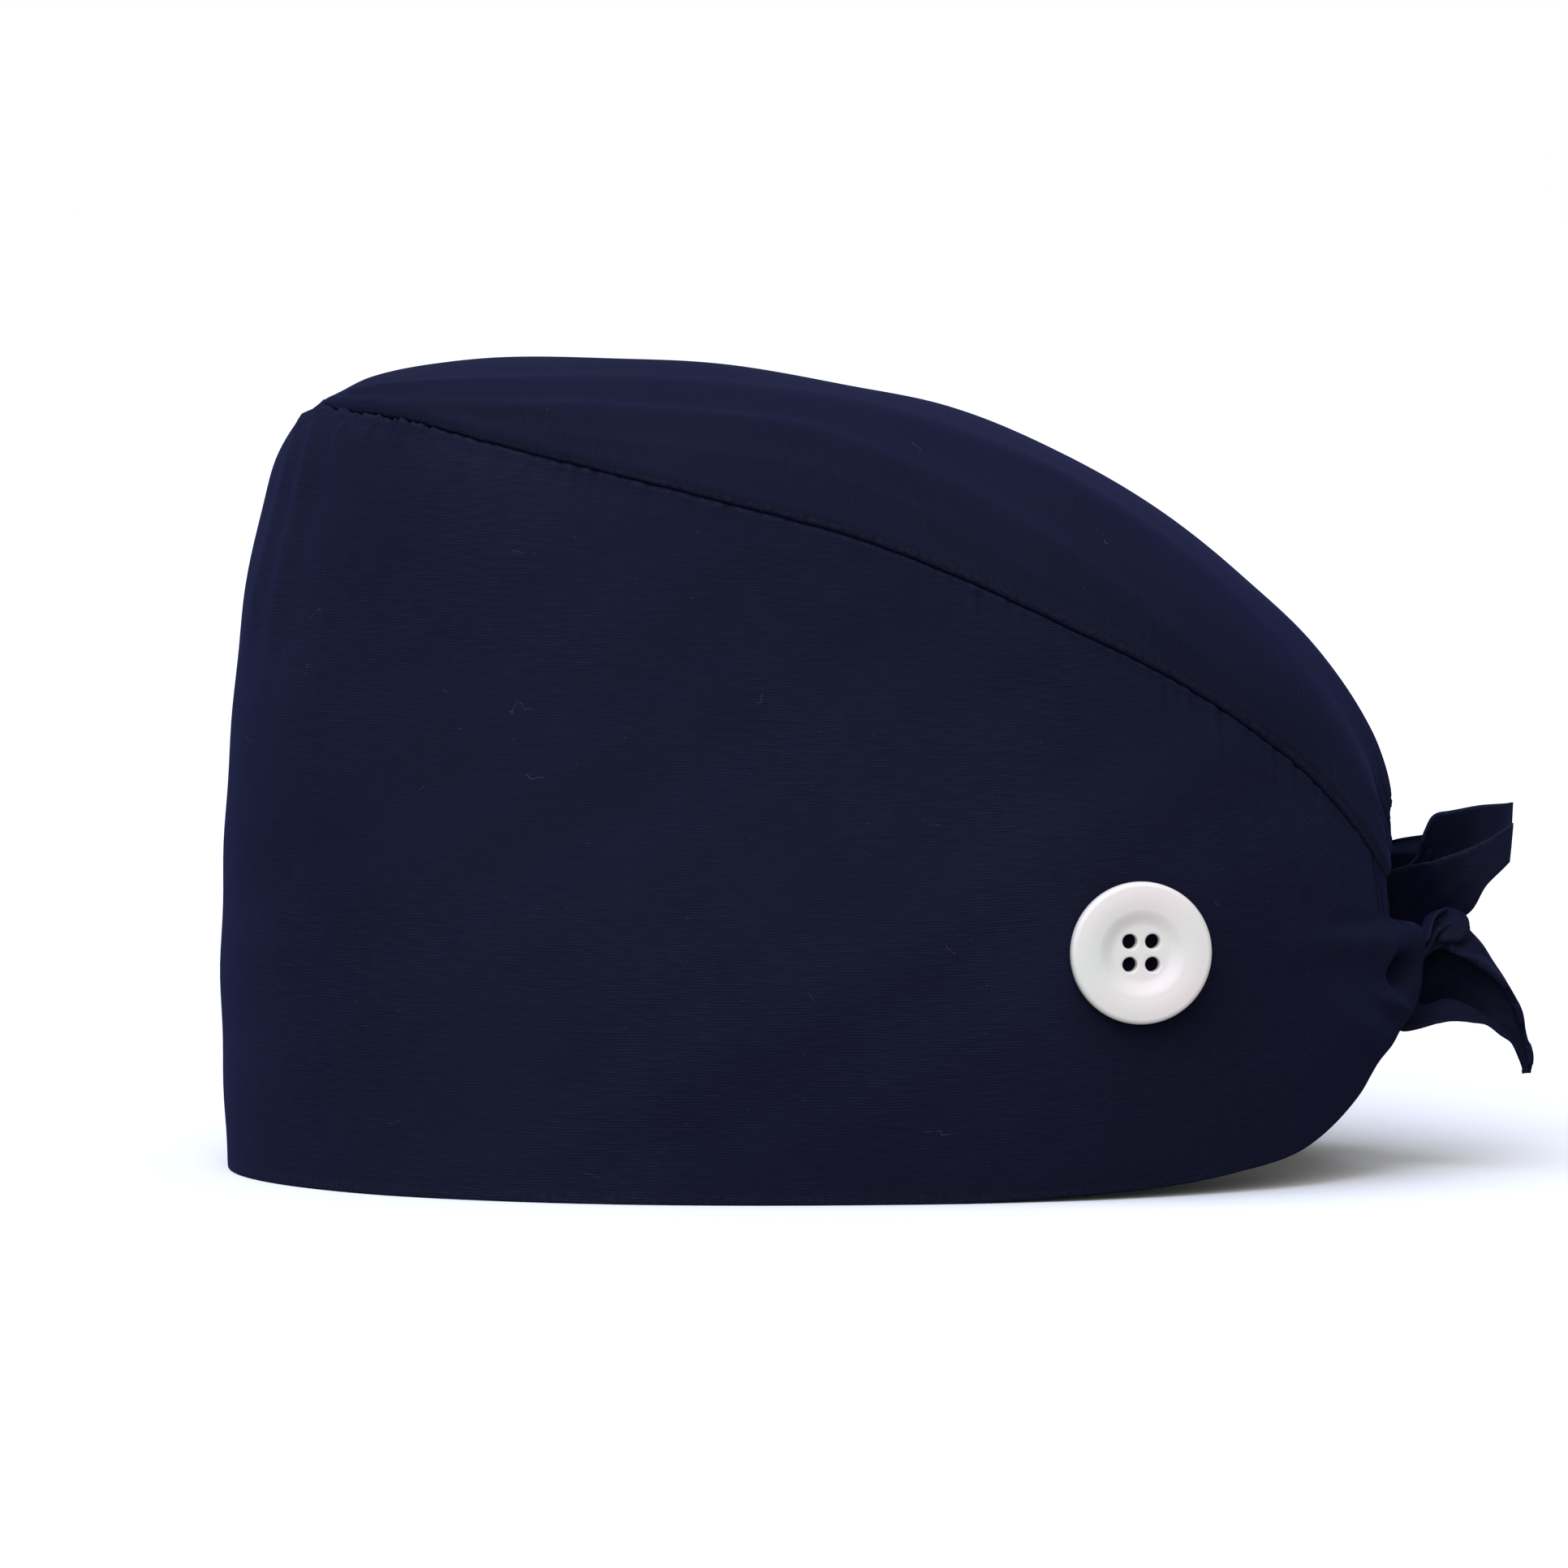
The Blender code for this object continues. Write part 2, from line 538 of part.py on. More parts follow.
def make_button(name, material, cutters):
    """Makes a four-hole button that faces its own +Z, with its back at its origin."""
    outline = button_profile()
    mesh = bpy.data.meshes.new(name)
    mesh.from_pydata([(r, 0, h) for r, h in outline], [(i, i + 1) for i in range(len(outline) - 1)], [])
    button = bpy.data.objects.new(name, mesh)
    turn = button.modifiers.new("turned", "SCREW")
    turn.axis = "Z"
    turn.angle = 2 * math.pi
    turn.steps = BUTTON_STEPS
    turn.render_steps = BUTTON_STEPS
    turn.use_merge_vertices = True
    turn.merge_threshold = 0.0001
    mesh.materials.append(material)
    for index in range(4):
        quarter = math.pi / 4 + index * math.pi / 2
        away = BUTTON_HOLE_PITCH / math.sqrt(2)
        work = bmesh.new()
        bmesh.ops.create_cone(work, cap_ends=True, segments=HOLE_SIDES, radius1=BUTTON_HOLE_RADIUS,
                              radius2=BUTTON_HOLE_RADIUS, depth=4 * BUTTON_THICKNESS)
        drill = object_from(work, f"{name}_drill_{index + 1}", material)
        drill.location = (away * math.cos(quarter), away * math.sin(quarter), 0)
        drill.parent = button
        drill.hide_render = True
        drill.display_type = "WIRE"
        cutters.objects.link(drill)
        hole = button.modifiers.new(f"hole_{index + 1}", "BOOLEAN")
        hole.object = drill
        hole.operation = "DIFFERENCE"
        hole.solver = "EXACT"
    return button


def make_stem(name, length, material):
    """Makes the thread stem that holds a button off the cloth, along its own +Z."""
    work = bmesh.new()
    bmesh.ops.create_cone(work, cap_ends=True, segments=STEM_SIDES, radius1=STEM_RADIUS, radius2=STEM_RADIUS,
                          depth=length)
    bmesh.ops.translate(work, verts=work.verts, vec=(0, 0, -length / 2))
    return object_from(work, name, material)


def make_buttons(cloth, shell, parts, cutters):
    """Makes both buttons with their stems, each on an empty that faces out of its side of the cap."""
    point, axis, standoff = button_places()
    for name, side in (("left", 1), ("right", -1)):
        outward = Vector((side * axis[0], axis[1], axis[2]))
        seat = bpy.data.objects.new(f"button_seat_{name}", None)
        seat.location = Vector((side * point[0], point[1], point[2])) + outward * standoff
        seat.rotation_mode = "QUATERNION"
        seat.rotation_quaternion = outward.to_track_quat("Z", "Y")
        parts.objects.link(seat)
        stem = make_stem(f"button_stem_{name}", standoff + STEM_SEAT_DEPTH - stem_play(), cloth)
        stem.location = (0, 0, STEM_SEAT_DEPTH - GAP)
        for piece in (make_button(f"button_{name}", shell, cutters), stem):
            piece.parent = seat
            parts.objects.link(piece)


def stand_at_origin(parts):
    """Hangs every piece on one empty and moves it, so that the origin is under the middle of the cap's box."""
    bpy.context.view_layer.update()
    graph = bpy.context.evaluated_depsgraph_get()
    corners = [piece.matrix_world @ Vector(corner)
               for piece in parts.objects if piece.type == "MESH"
               for corner in piece.evaluated_get(graph).bound_box]
    low = [min(corner[i] for corner in corners) for i in range(3)]
    high = [max(corner[i] for corner in corners) for i in range(3)]
    origin = bpy.data.objects.new("cap_origin", None)
    for piece in list(parts.objects):
        if piece.parent is None:
            piece.parent = origin
    parts.objects.link(origin)
    origin.location = (-(low[0] + high[0]) / 2, -(low[1] + high[1]) / 2, -low[2])


def main():
    """Builds the scrub cap."""
    clear_scene()
    parts = bpy.data.collections.new("scrub_cap")
    cutters = bpy.data.collections.new("cutters")
    bpy.context.scene.collection.children.link(parts)
    bpy.context.scene.collection.children.link(cutters)
    cloth = make_material("navy_poplin", CLOTH_COLOUR, CLOTH_ROUGHNESS)
    tie_cloth = make_material("navy_tie_poplin", TIE_COLOUR, CLOTH_ROUGHNESS)
    shell = make_material("white_button", BUTTON_COLOUR, BUTTON_ROUGHNESS)
    pieces = [
        make_side_band(cloth),
        make_crown_panel(cloth),
        make_tie_knot(tie_cloth),
        make_tail("tail_upper", UPPER_TAIL, UPPER_TAIL_REACH, UPPER_TAIL_RISE, tie_cloth, 1.0),
        make_tail("tail_lower", LOWER_TAIL, LOWER_TAIL_REACH, LOWER_TAIL_DROP, tie_cloth, 1.0),
        make_left_tie(tie_cloth),
        make_right_tie(tie_cloth),
    ]
    for piece in pieces:
        parts.objects.link(piece)
    make_buttons(cloth, shell, parts, cutters)
    stand_at_origin(parts)


main()
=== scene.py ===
"""Looks of a navy scrub cap that stands on its rim, tied at the back, with a button on each side.

Each piece of cloth is a fine sheet that follows the sizes of the cap's solids, with its hems and puckers.
Lengths are in metres. Inside CapForm y counts from the cap's frontmost point, and CapForm.place moves it to
the frame.
"""

import logging
import math
from collections.abc import Sequence
from dataclasses import dataclass
from enum import Enum

import bmesh
import bpy
import numpy as np
from mathutils import Matrix, Vector


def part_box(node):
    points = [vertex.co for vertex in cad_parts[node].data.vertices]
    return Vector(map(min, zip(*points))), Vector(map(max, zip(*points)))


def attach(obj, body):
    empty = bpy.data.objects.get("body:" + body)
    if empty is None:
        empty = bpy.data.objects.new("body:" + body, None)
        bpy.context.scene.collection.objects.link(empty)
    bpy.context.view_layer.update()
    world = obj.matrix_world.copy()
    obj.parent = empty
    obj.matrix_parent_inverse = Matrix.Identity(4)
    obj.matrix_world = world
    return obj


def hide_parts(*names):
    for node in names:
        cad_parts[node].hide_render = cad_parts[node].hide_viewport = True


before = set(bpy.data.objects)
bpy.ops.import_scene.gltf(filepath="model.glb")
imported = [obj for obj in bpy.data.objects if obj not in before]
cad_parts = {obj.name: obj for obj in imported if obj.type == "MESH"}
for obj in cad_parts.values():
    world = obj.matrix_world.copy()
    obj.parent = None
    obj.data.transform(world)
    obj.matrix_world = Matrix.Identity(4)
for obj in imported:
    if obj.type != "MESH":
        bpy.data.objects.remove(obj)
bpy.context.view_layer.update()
BODY = "root"
LOG = logging.getLogger("scrub_cap")

Table = Sequence[tuple[float, ...]]
Profile = Sequence[tuple[float, float]]
Colour = tuple[float, float, float]
Links = dict[str | int, object]
UP = np.array([0.0, 0.0, 1.0])
BACK = np.array([0.0, 1.0, 0.0])


class Side(Enum):
    """The wearer's two sides, as the sign of x."""

    LEFT = 1
    RIGHT = -1


class Hold(str, Enum):
    """How a sheet of cloth is held."""

    GATHERED = "gathered"
    FOLDED = "folded"


class Slot(str, Enum):
    """The record's material slots."""

    CAP = "cap_cloth"
    TIE = "tie_cloth"
    RESIN = "button_resin"
    THREAD = "thread"


def follow(knots: np.ndarray, rows: np.ndarray, places: np.ndarray) -> np.ndarray:
    """Reads smooth values between the rows of a table.

    Args:
        knots: The place of each row, in rising order.
        rows: The table's rows.
        places: The places to read.

    Returns:
        A row of values for each place.
    """
    slopes = np.empty_like(rows)
    slopes[1:-1] = (rows[2:] - rows[:-2]) / (knots[2:] - knots[:-2])[:, None]
    slopes[0] = (rows[1] - rows[0]) / (knots[1] - knots[0])
    slopes[-1] = (rows[-1] - rows[-2]) / (knots[-1] - knots[-2])
    first = np.clip(np.searchsorted(knots, places, side="right") - 1, 0, len(knots) - 2)
    span = (knots[first + 1] - knots[first])[:, None]
    share = (places - knots[first])[:, None] / span
    return ((2 * share**3 - 3 * share**2 + 1) * rows[first]
            + (share**3 - 2 * share**2 + share) * span * slopes[first]
            + (3 * share**2 - 2 * share**3) * rows[first + 1]
            + (share**3 - share**2) * span * slopes[first + 1])


def read_profile(profile: Table, places: np.ndarray) -> np.ndarray:
    """Reads a table of two columns at places between 0 and 1."""
    table = np.array(profile, float)
    flat = follow(table[:, 0], table[:, 1:], np.clip(np.ravel(places), 0, 1))
    return flat.reshape(np.shape(places))


def unit(vectors: np.ndarray) -> np.ndarray:
    """Gives the vectors with length 1."""
    return vectors / np.maximum(np.linalg.norm(vectors, axis=-1, keepdims=True), 1e-12)


def normals_of(grid: np.ndarray) -> np.ndarray:
    """Gives unit normals of a grid of points, along its first direction crossed with its second."""
    return unit(np.cross(np.gradient(grid, axis=0), np.gradient(grid, axis=1)))


def ease(values: np.ndarray) -> np.ndarray:
    """Eases values between 0 and 1 in and out."""
    held = np.clip(values, 0, 1)
    return held**2 * (3 - 2 * held)


def travelled(grid: np.ndarray, axis: int) -> np.ndarray:
    """Gives each point's distance from the first one, along a direction of the grid."""
    steps = np.linalg.norm(np.diff(grid, axis=axis), axis=2)
    start = np.zeros_like(np.take(steps, [0], axis=axis))
    return np.cumsum(np.concatenate([start, steps], axis=axis), axis=axis)


@dataclass(frozen=True)
class Ripple:
    """Irregular waves along a line, the same ones on each run."""

    wavelength: float
    seed: int
    waves: int = 5
    spread: tuple[float, float] = (0.65, 1.6)

    def at(self, places: np.ndarray) -> np.ndarray:
        """Gives the waves' height at the places, mostly between -1 and 1."""
        draw = np.random.default_rng(self.seed)
        total = np.zeros(np.shape(places))
        for _ in range(self.waves):
            length = self.wavelength * draw.uniform(*self.spread)
            total = total + np.sin(2 * math.pi * places / length + draw.uniform(0, 2 * math.pi))
        return total / math.sqrt(self.waves)


@dataclass(frozen=True)
class CapForm:
    """The sizes that the band and the crown share, and the surfaces that they give.

    In the stations, the rim and seam columns are shares of half_width, depth and band_height, and bulge is
    a share of band_bulge. Rise and lean place the crown's crest over the seam, in shares of crown_rise.
    Corner is 1 where the band rounds over at the forehead and 0 at the sides.
    """

    half_width: float = 0.082
    depth: float = 0.241
    band_height: float = 0.1545
    crown_rise: float = 0.0320
    band_bulge: float = 0.0105
    crown_fullness: float = 2.3
    forehead_mitre: float = math.radians(52)
    end_roll: float = 0.0095
    end_roll_length: float = 0.022
    band_fold: float = 0.005
    crown_fold: float = 0.0040
    crown_fold_reach: float = 0.085
    crown_fold_fade: float = 1.5
    hem_calm: float = 0.009
    seam_wander: float = 0.00017
    wander_ends: float = 0.012
    wander_front: float = 0.10
    wander_rest: float = 0.25
    band_wander_power: int = 14
    crown_wander_power: int = 8
    slope_step: float = 0.001
    stations: Table = (
        # rim_x, rim_y, rim_z, seam_x, seam_y, seam_z, bulge, corner, rise, lean
        (0.000, 0.006, 0.000, 0.000, 0.085, 1.000, 1.00, 1.00, 0.00, 0.00),
        (0.268, 0.021, 0.000, 0.195, 0.098, 0.999, 1.00, 1.00, 0.07, 0.03),
        (0.512, 0.064, 0.000, 0.366, 0.122, 0.995, 0.92, 0.80, 0.18, 0.05),
        (0.732, 0.137, 0.000, 0.537, 0.166, 0.985, 0.80, 0.50, 0.30, 0.06),
        (0.878, 0.228, 0.000, 0.671, 0.232, 0.958, 0.70, 0.20, 0.48, 0.06),
        (0.970, 0.332, 0.000, 0.774, 0.328, 0.921, 0.62, 0.00, 0.66, 0.03),
        (1.000, 0.427, 0.000, 0.835, 0.427, 0.883, 0.62, 0.00, 0.80, 0.00),
        (0.994, 0.519, 0.000, 0.854, 0.528, 0.841, 0.62, 0.00, 0.88, 0.00),
        (0.963, 0.614, 0.000, 0.841, 0.614, 0.790, 0.62, 0.00, 0.97, 0.00),
        (0.896, 0.710, 0.006, 0.799, 0.705, 0.724, 0.62, 0.00, 1.00, 0.03),
        (0.805, 0.782, 0.013, 0.732, 0.784, 0.663, 0.57, 0.00, 0.94, 0.03),
        (0.695, 0.844, 0.026, 0.640, 0.852, 0.595, 0.48, 0.00, 0.85, 0.05),
        (0.561, 0.902, 0.050, 0.537, 0.905, 0.528, 0.38, 0.00, 0.72, 0.09),
        (0.402, 0.951, 0.110, 0.433, 0.946, 0.456, 0.24, 0.00, 0.49, 0.12),
        (0.244, 0.980, 0.185, 0.341, 0.973, 0.392, 0.00, 0.00, 0.23, 0.06),
    )
    forehead_profile: Table = (
        # up, swell
        (0.00, 0.00), (0.25, 0.57), (0.50, 0.89), (0.70, 1.00), (0.80, 0.97), (0.88, 0.83), (0.925, 0.71),
        (0.96, 0.505), (0.979, 0.32), (0.99, 0.16), (1.00, 0.00),
    )
    roll_profile: Table = (
        # up, roll
        (0.00, 0.00), (0.11, 0.58), (0.24, 0.88), (0.42, 1.00), (0.60, 0.97), (0.67, 0.84), (0.70, 0.55),
        (0.73, 0.14), (0.78, 0.03), (0.90, 0.00), (1.00, 0.00),
    )
    band_folds: Table = (
        # back, level, length, width, turn, push
        (0.958, 0.312, 0.060, 0.024, -2, 0.26),
        (0.952, 0.338, 0.040, 0.009, -2, -0.14),
        (0.9855, 0.268, 0.0095, 0.0155, 14, -1.90),
        (0.9735, 0.275, 0.0055, 0.036, 6, 0.28),
        (0.980, 0.226, 0.016, 0.010, -34, 0.36),
        (0.962, 0.190, 0.045, 0.024, -38, 0.20),
    )
    crown_folds: Table = (
        # across, width, push
        (0.31, 0.09, 0.40),
        (0.10, 0.09, -1.80),
        (-0.14, 0.11, 0.70),
        (-0.45, 0.16, -0.50),
        (-0.75, 0.14, 0.30),
        (0.60, 0.14, -0.40),
        (0.86, 0.10, 0.20),
    )

    def rows(self) -> tuple[np.ndarray, np.ndarray]:
        """Gives the stations in metres from the right end over the front to the left end.

        Returns:
            Each station's place along the band, counted from the centre front, and its values.
        """
        across, back, up = self.half_width, self.depth, self.band_height
        scale = [across, back, up, across, back, up, self.band_bulge, 1, self.crown_rise, self.crown_rise]
        left = np.array(self.stations) * scale
        right = left[:0:-1].copy()
        right[:, [0, 3]] *= -1
        rows = np.vstack([right, left])
        places = np.concatenate([[0], np.cumsum(np.linalg.norm(np.diff(rows[:, :6], axis=0), axis=1))])
        return places - places[-1] / 2, rows

    def at(self, places: np.ndarray) -> np.ndarray:
        """Gives the station values at distances along the band from the centre front."""
        knots, rows = self.rows()
        return follow(knots, rows, places)

    @property
    def length(self) -> float:
        """The distance along the band from the centre front to a back end."""
        return float(self.rows()[0][-1])

    def fold_push(self, points: np.ndarray) -> np.ndarray:
        """Gives the outward push of the folds in the band's gathered ends."""
        push = np.zeros(points.shape[:2])
        for back, level, length, width, turn, share in self.band_folds:
            dy = points[..., 1] - back * self.depth
            dz = points[..., 2] - level * self.band_height
            turned = math.radians(turn)
            along = (dy * math.cos(turned) + dz * math.sin(turned)) / (length * self.depth)
            across = (dz * math.cos(turned) - dy * math.sin(turned)) / (width * self.band_height)
            push += share * self.band_fold * np.exp(-along**2 - across**2)
        return push

    def band(self, places: np.ndarray, heights: np.ndarray) -> np.ndarray:
        """Gives the band's outer surface.

        Args:
            places: Distances along the band from the centre front.
            heights: Shares of the way from the rim to the seam.

        Returns:
            A column of points for each place.
        """
        rows = self.at(places)
        rim = np.maximum(rows[:, None, 0:3], [-np.inf, -np.inf, 0])
        seam = rows[:, None, 3:6]
        points = rim + (seam - rim) * heights[None, :, None]
        points[..., 2] += self.wander(places)[:, None] * heights[None, :] ** self.band_wander_power
        run = np.gradient(points, axis=0)
        outward = unit(np.stack([run[..., 1], -run[..., 0], np.zeros(run.shape[:2])], axis=2))
        corner = rows[:, None, 7]
        plain = 4 * heights * (1 - heights)
        swell = corner * read_profile(self.forehead_profile, heights) + (1 - corner) * plain
        points = points + outward * (rows[:, None, 6] * swell)[..., None]
        nearness = ease(1 - (self.length - np.abs(places)) / self.end_roll_length)
        roll = self.end_roll * nearness[:, None] * read_profile(self.roll_profile, heights)
        level = np.ones(len(places))
        behind = np.stack([-np.sign(places), level, 0 * level], axis=1) * math.sqrt(0.5)
        points = points + roll[..., None] * behind[:, None]
        return points + normals_of(points) * self.fold_push(points)[..., None]

    def crown(self, places: np.ndarray, turns: np.ndarray) -> np.ndarray:
        """Gives the crown's outer surface.

        Args:
            places: Distances along the band from the centre front.
            turns: Shares of the way over the cap, from the left seam to the right one.

        Returns:
            An arch of points for each place.
        """
        rows = self.at(places)
        seam = rows[:, None, 3:6]
        angle = math.pi * turns[None, :]
        spread = np.sign(np.cos(angle)) * np.abs(np.cos(angle)) ** (2 / self.crown_fullness)
        lift = np.abs(np.sin(angle)) ** (2 / self.crown_fullness)
        points = np.stack([seam[..., 0] * spread, seam[..., 1] + rows[:, None, 9] * lift,
                           seam[..., 2] + rows[:, None, 8] * lift], axis=2)
        past = self.length - places
        reach = np.clip(1 - past / self.crown_fold_reach, 0, 1) ** self.crown_fold_fade
        reach = (reach * (1 - 0.8 * ease(1 - past / self.hem_calm)))[:, None]
        push = np.zeros(points.shape[:2])
        for across, width, share in self.crown_folds:
            push += share * self.crown_fold * np.exp(-((spread - across) / width) ** 2)
        left, right = self.wander(places)[:, None], self.wander(-places)[:, None]
        points[..., 2] += np.where(spread > 0, left, right) * np.abs(spread) ** self.crown_wander_power
        return points + normals_of(points) * (push * reach * lift)[..., None]

    def wander(self, places: np.ndarray) -> np.ndarray:
        """Gives the small rises and dips of the hand-guided seam."""
        away = np.abs(places)
        free = ease(away / self.wander_ends) * ease((self.length - away) / self.wander_ends)
        near_front = self.wander_rest + (1 - self.wander_rest) * np.exp(-(places / self.wander_front) ** 2)
        waves = Ripple(0.019, seed=5).at(places) + 0.35 * Ripple(0.0065, seed=6).at(places)
        return self.seam_wander * waves * free * near_front

    def seam_outward(self, places: np.ndarray) -> np.ndarray:
        """Gives the direction out of the cap at the seam."""
        step = self.slope_step
        run = unit(self.at(np.minimum(places + step, self.length))[:, 3:6]
                   - self.at(np.maximum(places - step, -self.length))[:, 3:6])
        level = unit(np.stack([run[:, 1], -run[:, 0], np.zeros(len(run))], axis=1))
        top = np.cross(level, run)
        top *= np.sign(top[:, 2:3])
        tip = (self.at(places)[:, 7] * self.forehead_mitre)[:, None]
        return level * np.cos(tip) + top * np.sin(tip)

    def place(self, points: np.ndarray) -> np.ndarray:
        """Moves points from the form's own origin to the frame, by the front of the band's solid."""
        heights = np.linspace(0, 1, 19)
        front = self.band(np.array([-self.slope_step, 0, self.slope_step]), heights)[1, :, 1].min()
        return points + [0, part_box("side_band")[0][1] - front, 0]


FORM = CapForm()


class Graph:
    """Adds nodes to a shader tree and links them."""

    def __init__(self, tree: bpy.types.NodeTree) -> None:
        """Keeps the tree that the nodes go in."""
        self.tree = tree

    def feed(self, node: bpy.types.Node, links: Links) -> None:
        """Sets a node's sockets, by name or number, to other nodes' outputs or to plain values."""
        for socket, source in links.items():
            if isinstance(source, bpy.types.NodeSocket):
                self.tree.links.new(source, node.inputs[socket])
            else:
                node.inputs[socket].default_value = source

    def add(self, kind: str, links: Links | None = None, **settings: object) -> bpy.types.Node:
        """Adds a node.

        Args:
            kind: The node's type, without the words that all shader nodes start with.
            links: What goes into its sockets.
            settings: The node's own settings.

        Returns:
            The new node.
        """
        node = self.tree.nodes.new(f"ShaderNode{kind}")
        for name, value in settings.items():
            setattr(node, name, value)
        self.feed(node, links or {})
        return node

    def maths(self, operation: str, *values: object) -> bpy.types.NodeSocket:
        """Adds a Math node and gives its output."""
        return self.add("Math", dict(enumerate(values)), operation=operation).outputs[0]

    def vector(self, x: object, y: object) -> bpy.types.NodeSocket:
        """Joins two values to a level vector."""
        return self.add("CombineXYZ", {0: x, 1: y}).outputs[0]

    def part(self, vector: object, index: int) -> bpy.types.NodeSocket:
        """Gives one of a vector's three values."""
        return self.add("SeparateXYZ", {0: vector}).outputs[index]

    def span(self, value: object, low: float, high: float,
             start: float = 0.0, end: float = 1.0) -> bpy.types.NodeSocket:
        """Maps a value from low and high to start and end, and keeps it between them."""
        links = {"Value": value, "From Min": low, "From Max": high, "To Min": start, "To Max": end}
        return self.add("MapRange", links).outputs["Result"]

    def mix(self, share: object, first: object, second: object) -> bpy.types.NodeSocket:
        """Mixes two colours."""
        return self.add("Mix", {0: share, 6: first, 7: second}, data_type="RGBA").outputs[2]

    def noise(self, place: object, scale: object, detail: float, roughness: float = 0.5,
              dimensions: str = "3D") -> bpy.types.bpy_prop_collection:
        """Adds a noise texture and gives its outputs."""
        links = {"Vector": place, "Scale": scale, "Detail": detail, "Roughness": roughness}
        return self.add("TexNoise", links, noise_dimensions=dimensions).outputs

    def cells(self, place: object) -> bpy.types.bpy_prop_collection:
        """Adds a flat texture of cells and gives its outputs."""
        return self.add("TexVoronoi", {"Vector": place, "Scale": 1.0}, voronoi_dimensions="2D").outputs


def fresh_graph(owner: bpy.types.Material | bpy.types.World) -> Graph:
    """Gives an empty graph for a material or a world."""
    owner.use_nodes = True
    owner.node_tree.nodes.clear()
    return Graph(owner.node_tree)


class EffectGroup:
    """A shader node group, made once and placed in each material that uses it."""

    title = "Effect"
    inputs: tuple[tuple[str, str, float | None], ...] = ()
    outputs: tuple[str, ...] = ()

    def tree(self) -> bpy.types.NodeTree:
        """Gives the group's tree, and builds it the first time."""
        found = bpy.data.node_groups.get(self.title)
        if found:
            return found
        tree = bpy.data.node_groups.new(self.title, "ShaderNodeTree")
        for name, kind, start in self.inputs:
            socket = tree.interface.new_socket(name, in_out="INPUT", socket_type=f"NodeSocket{kind}")
            if start is not None:
                socket.default_value = start
        for name in self.outputs:
            tree.interface.new_socket(name, in_out="OUTPUT", socket_type="NodeSocketFloat")
        graph = Graph(tree)
        source = tree.nodes.new("NodeGroupInput").outputs
        target = tree.nodes.new("NodeGroupOutput").inputs
        for name, value in self.make(graph, source).items():
            tree.links.new(value, target[name])
        return tree

    def make(self, graph: Graph, source: bpy.types.bpy_prop_collection) -> dict[str, bpy.types.NodeSocket]:
        """Adds the group's nodes and gives what each output takes."""
        raise NotImplementedError

    def place(self, graph: Graph, **values: object) -> dict[str, bpy.types.NodeSocket]:
        """Places the group in a material.

        Args:
            graph: The material's graph.
            values: What goes into each input, by its name with _ for each space.

        Returns:
            The group's outputs by name.
        """
        links = {name.replace("_", " "): value for name, value in values.items()}
        node = graph.add("Group", links, node_tree=self.tree())
        return {name: node.outputs[name] for name in self.outputs}


class RibbedWeave(EffectGroup):
    """Poplin: fine ribs along the cloth's first direction, broken into slubs of uneven length."""

    title = "Ribbed weave"
    inputs = (("Cloth", "Vector", None), ("Rib Pitch", "Float", 0.00055), ("Slub Length", "Float", 0.006))
    outputs = ("Height", "Slub")
    waver = 0.0016

    def make(self, graph: Graph, source: bpy.types.bpy_prop_collection) -> dict[str, bpy.types.NodeSocket]:
        """Adds the ribs, their slubs and the threads that cross them."""
        cloth = source["Cloth"]
        waver = graph.maths("MULTIPLY_ADD", graph.noise(cloth, 38.0, 1.0)[0], self.waver, -self.waver / 2)
        across = graph.maths("DIVIDE", graph.maths("ADD", graph.part(cloth, 1), waver), source["Rib Pitch"])
        along = graph.maths("DIVIDE", graph.part(cloth, 0), source["Slub Length"])
        rib = graph.maths("SINE", graph.maths("MULTIPLY", across, 2 * math.pi))
        slubs = graph.vector(along, graph.maths("MULTIPLY", across, 0.9))
        slub = graph.noise(slubs, 1.0, 2.5, 0.6, "2D")[0]
        crossing = graph.vector(graph.maths("MULTIPLY", along, 17.0), graph.maths("MULTIPLY", across, 0.7))
        thread = graph.noise(crossing, 1.0, 1.0, dimensions="2D")[0]
        lively = graph.span(graph.noise(cloth, 28.0, 2.0)[0], 0.35, 0.65, 0.35, 1.0)
        strength = graph.maths("MULTIPLY", graph.span(slub, 0.42, 0.66), lively)
        wave = graph.maths("MULTIPLY_ADD", rib, 0.5, 0.5)
        ribs = graph.maths("MULTIPLY", wave, graph.maths("ADD", strength, 0.35))
        return {"Height": graph.maths("MULTIPLY_ADD", thread, 0.7, ribs), "Slub": strength}


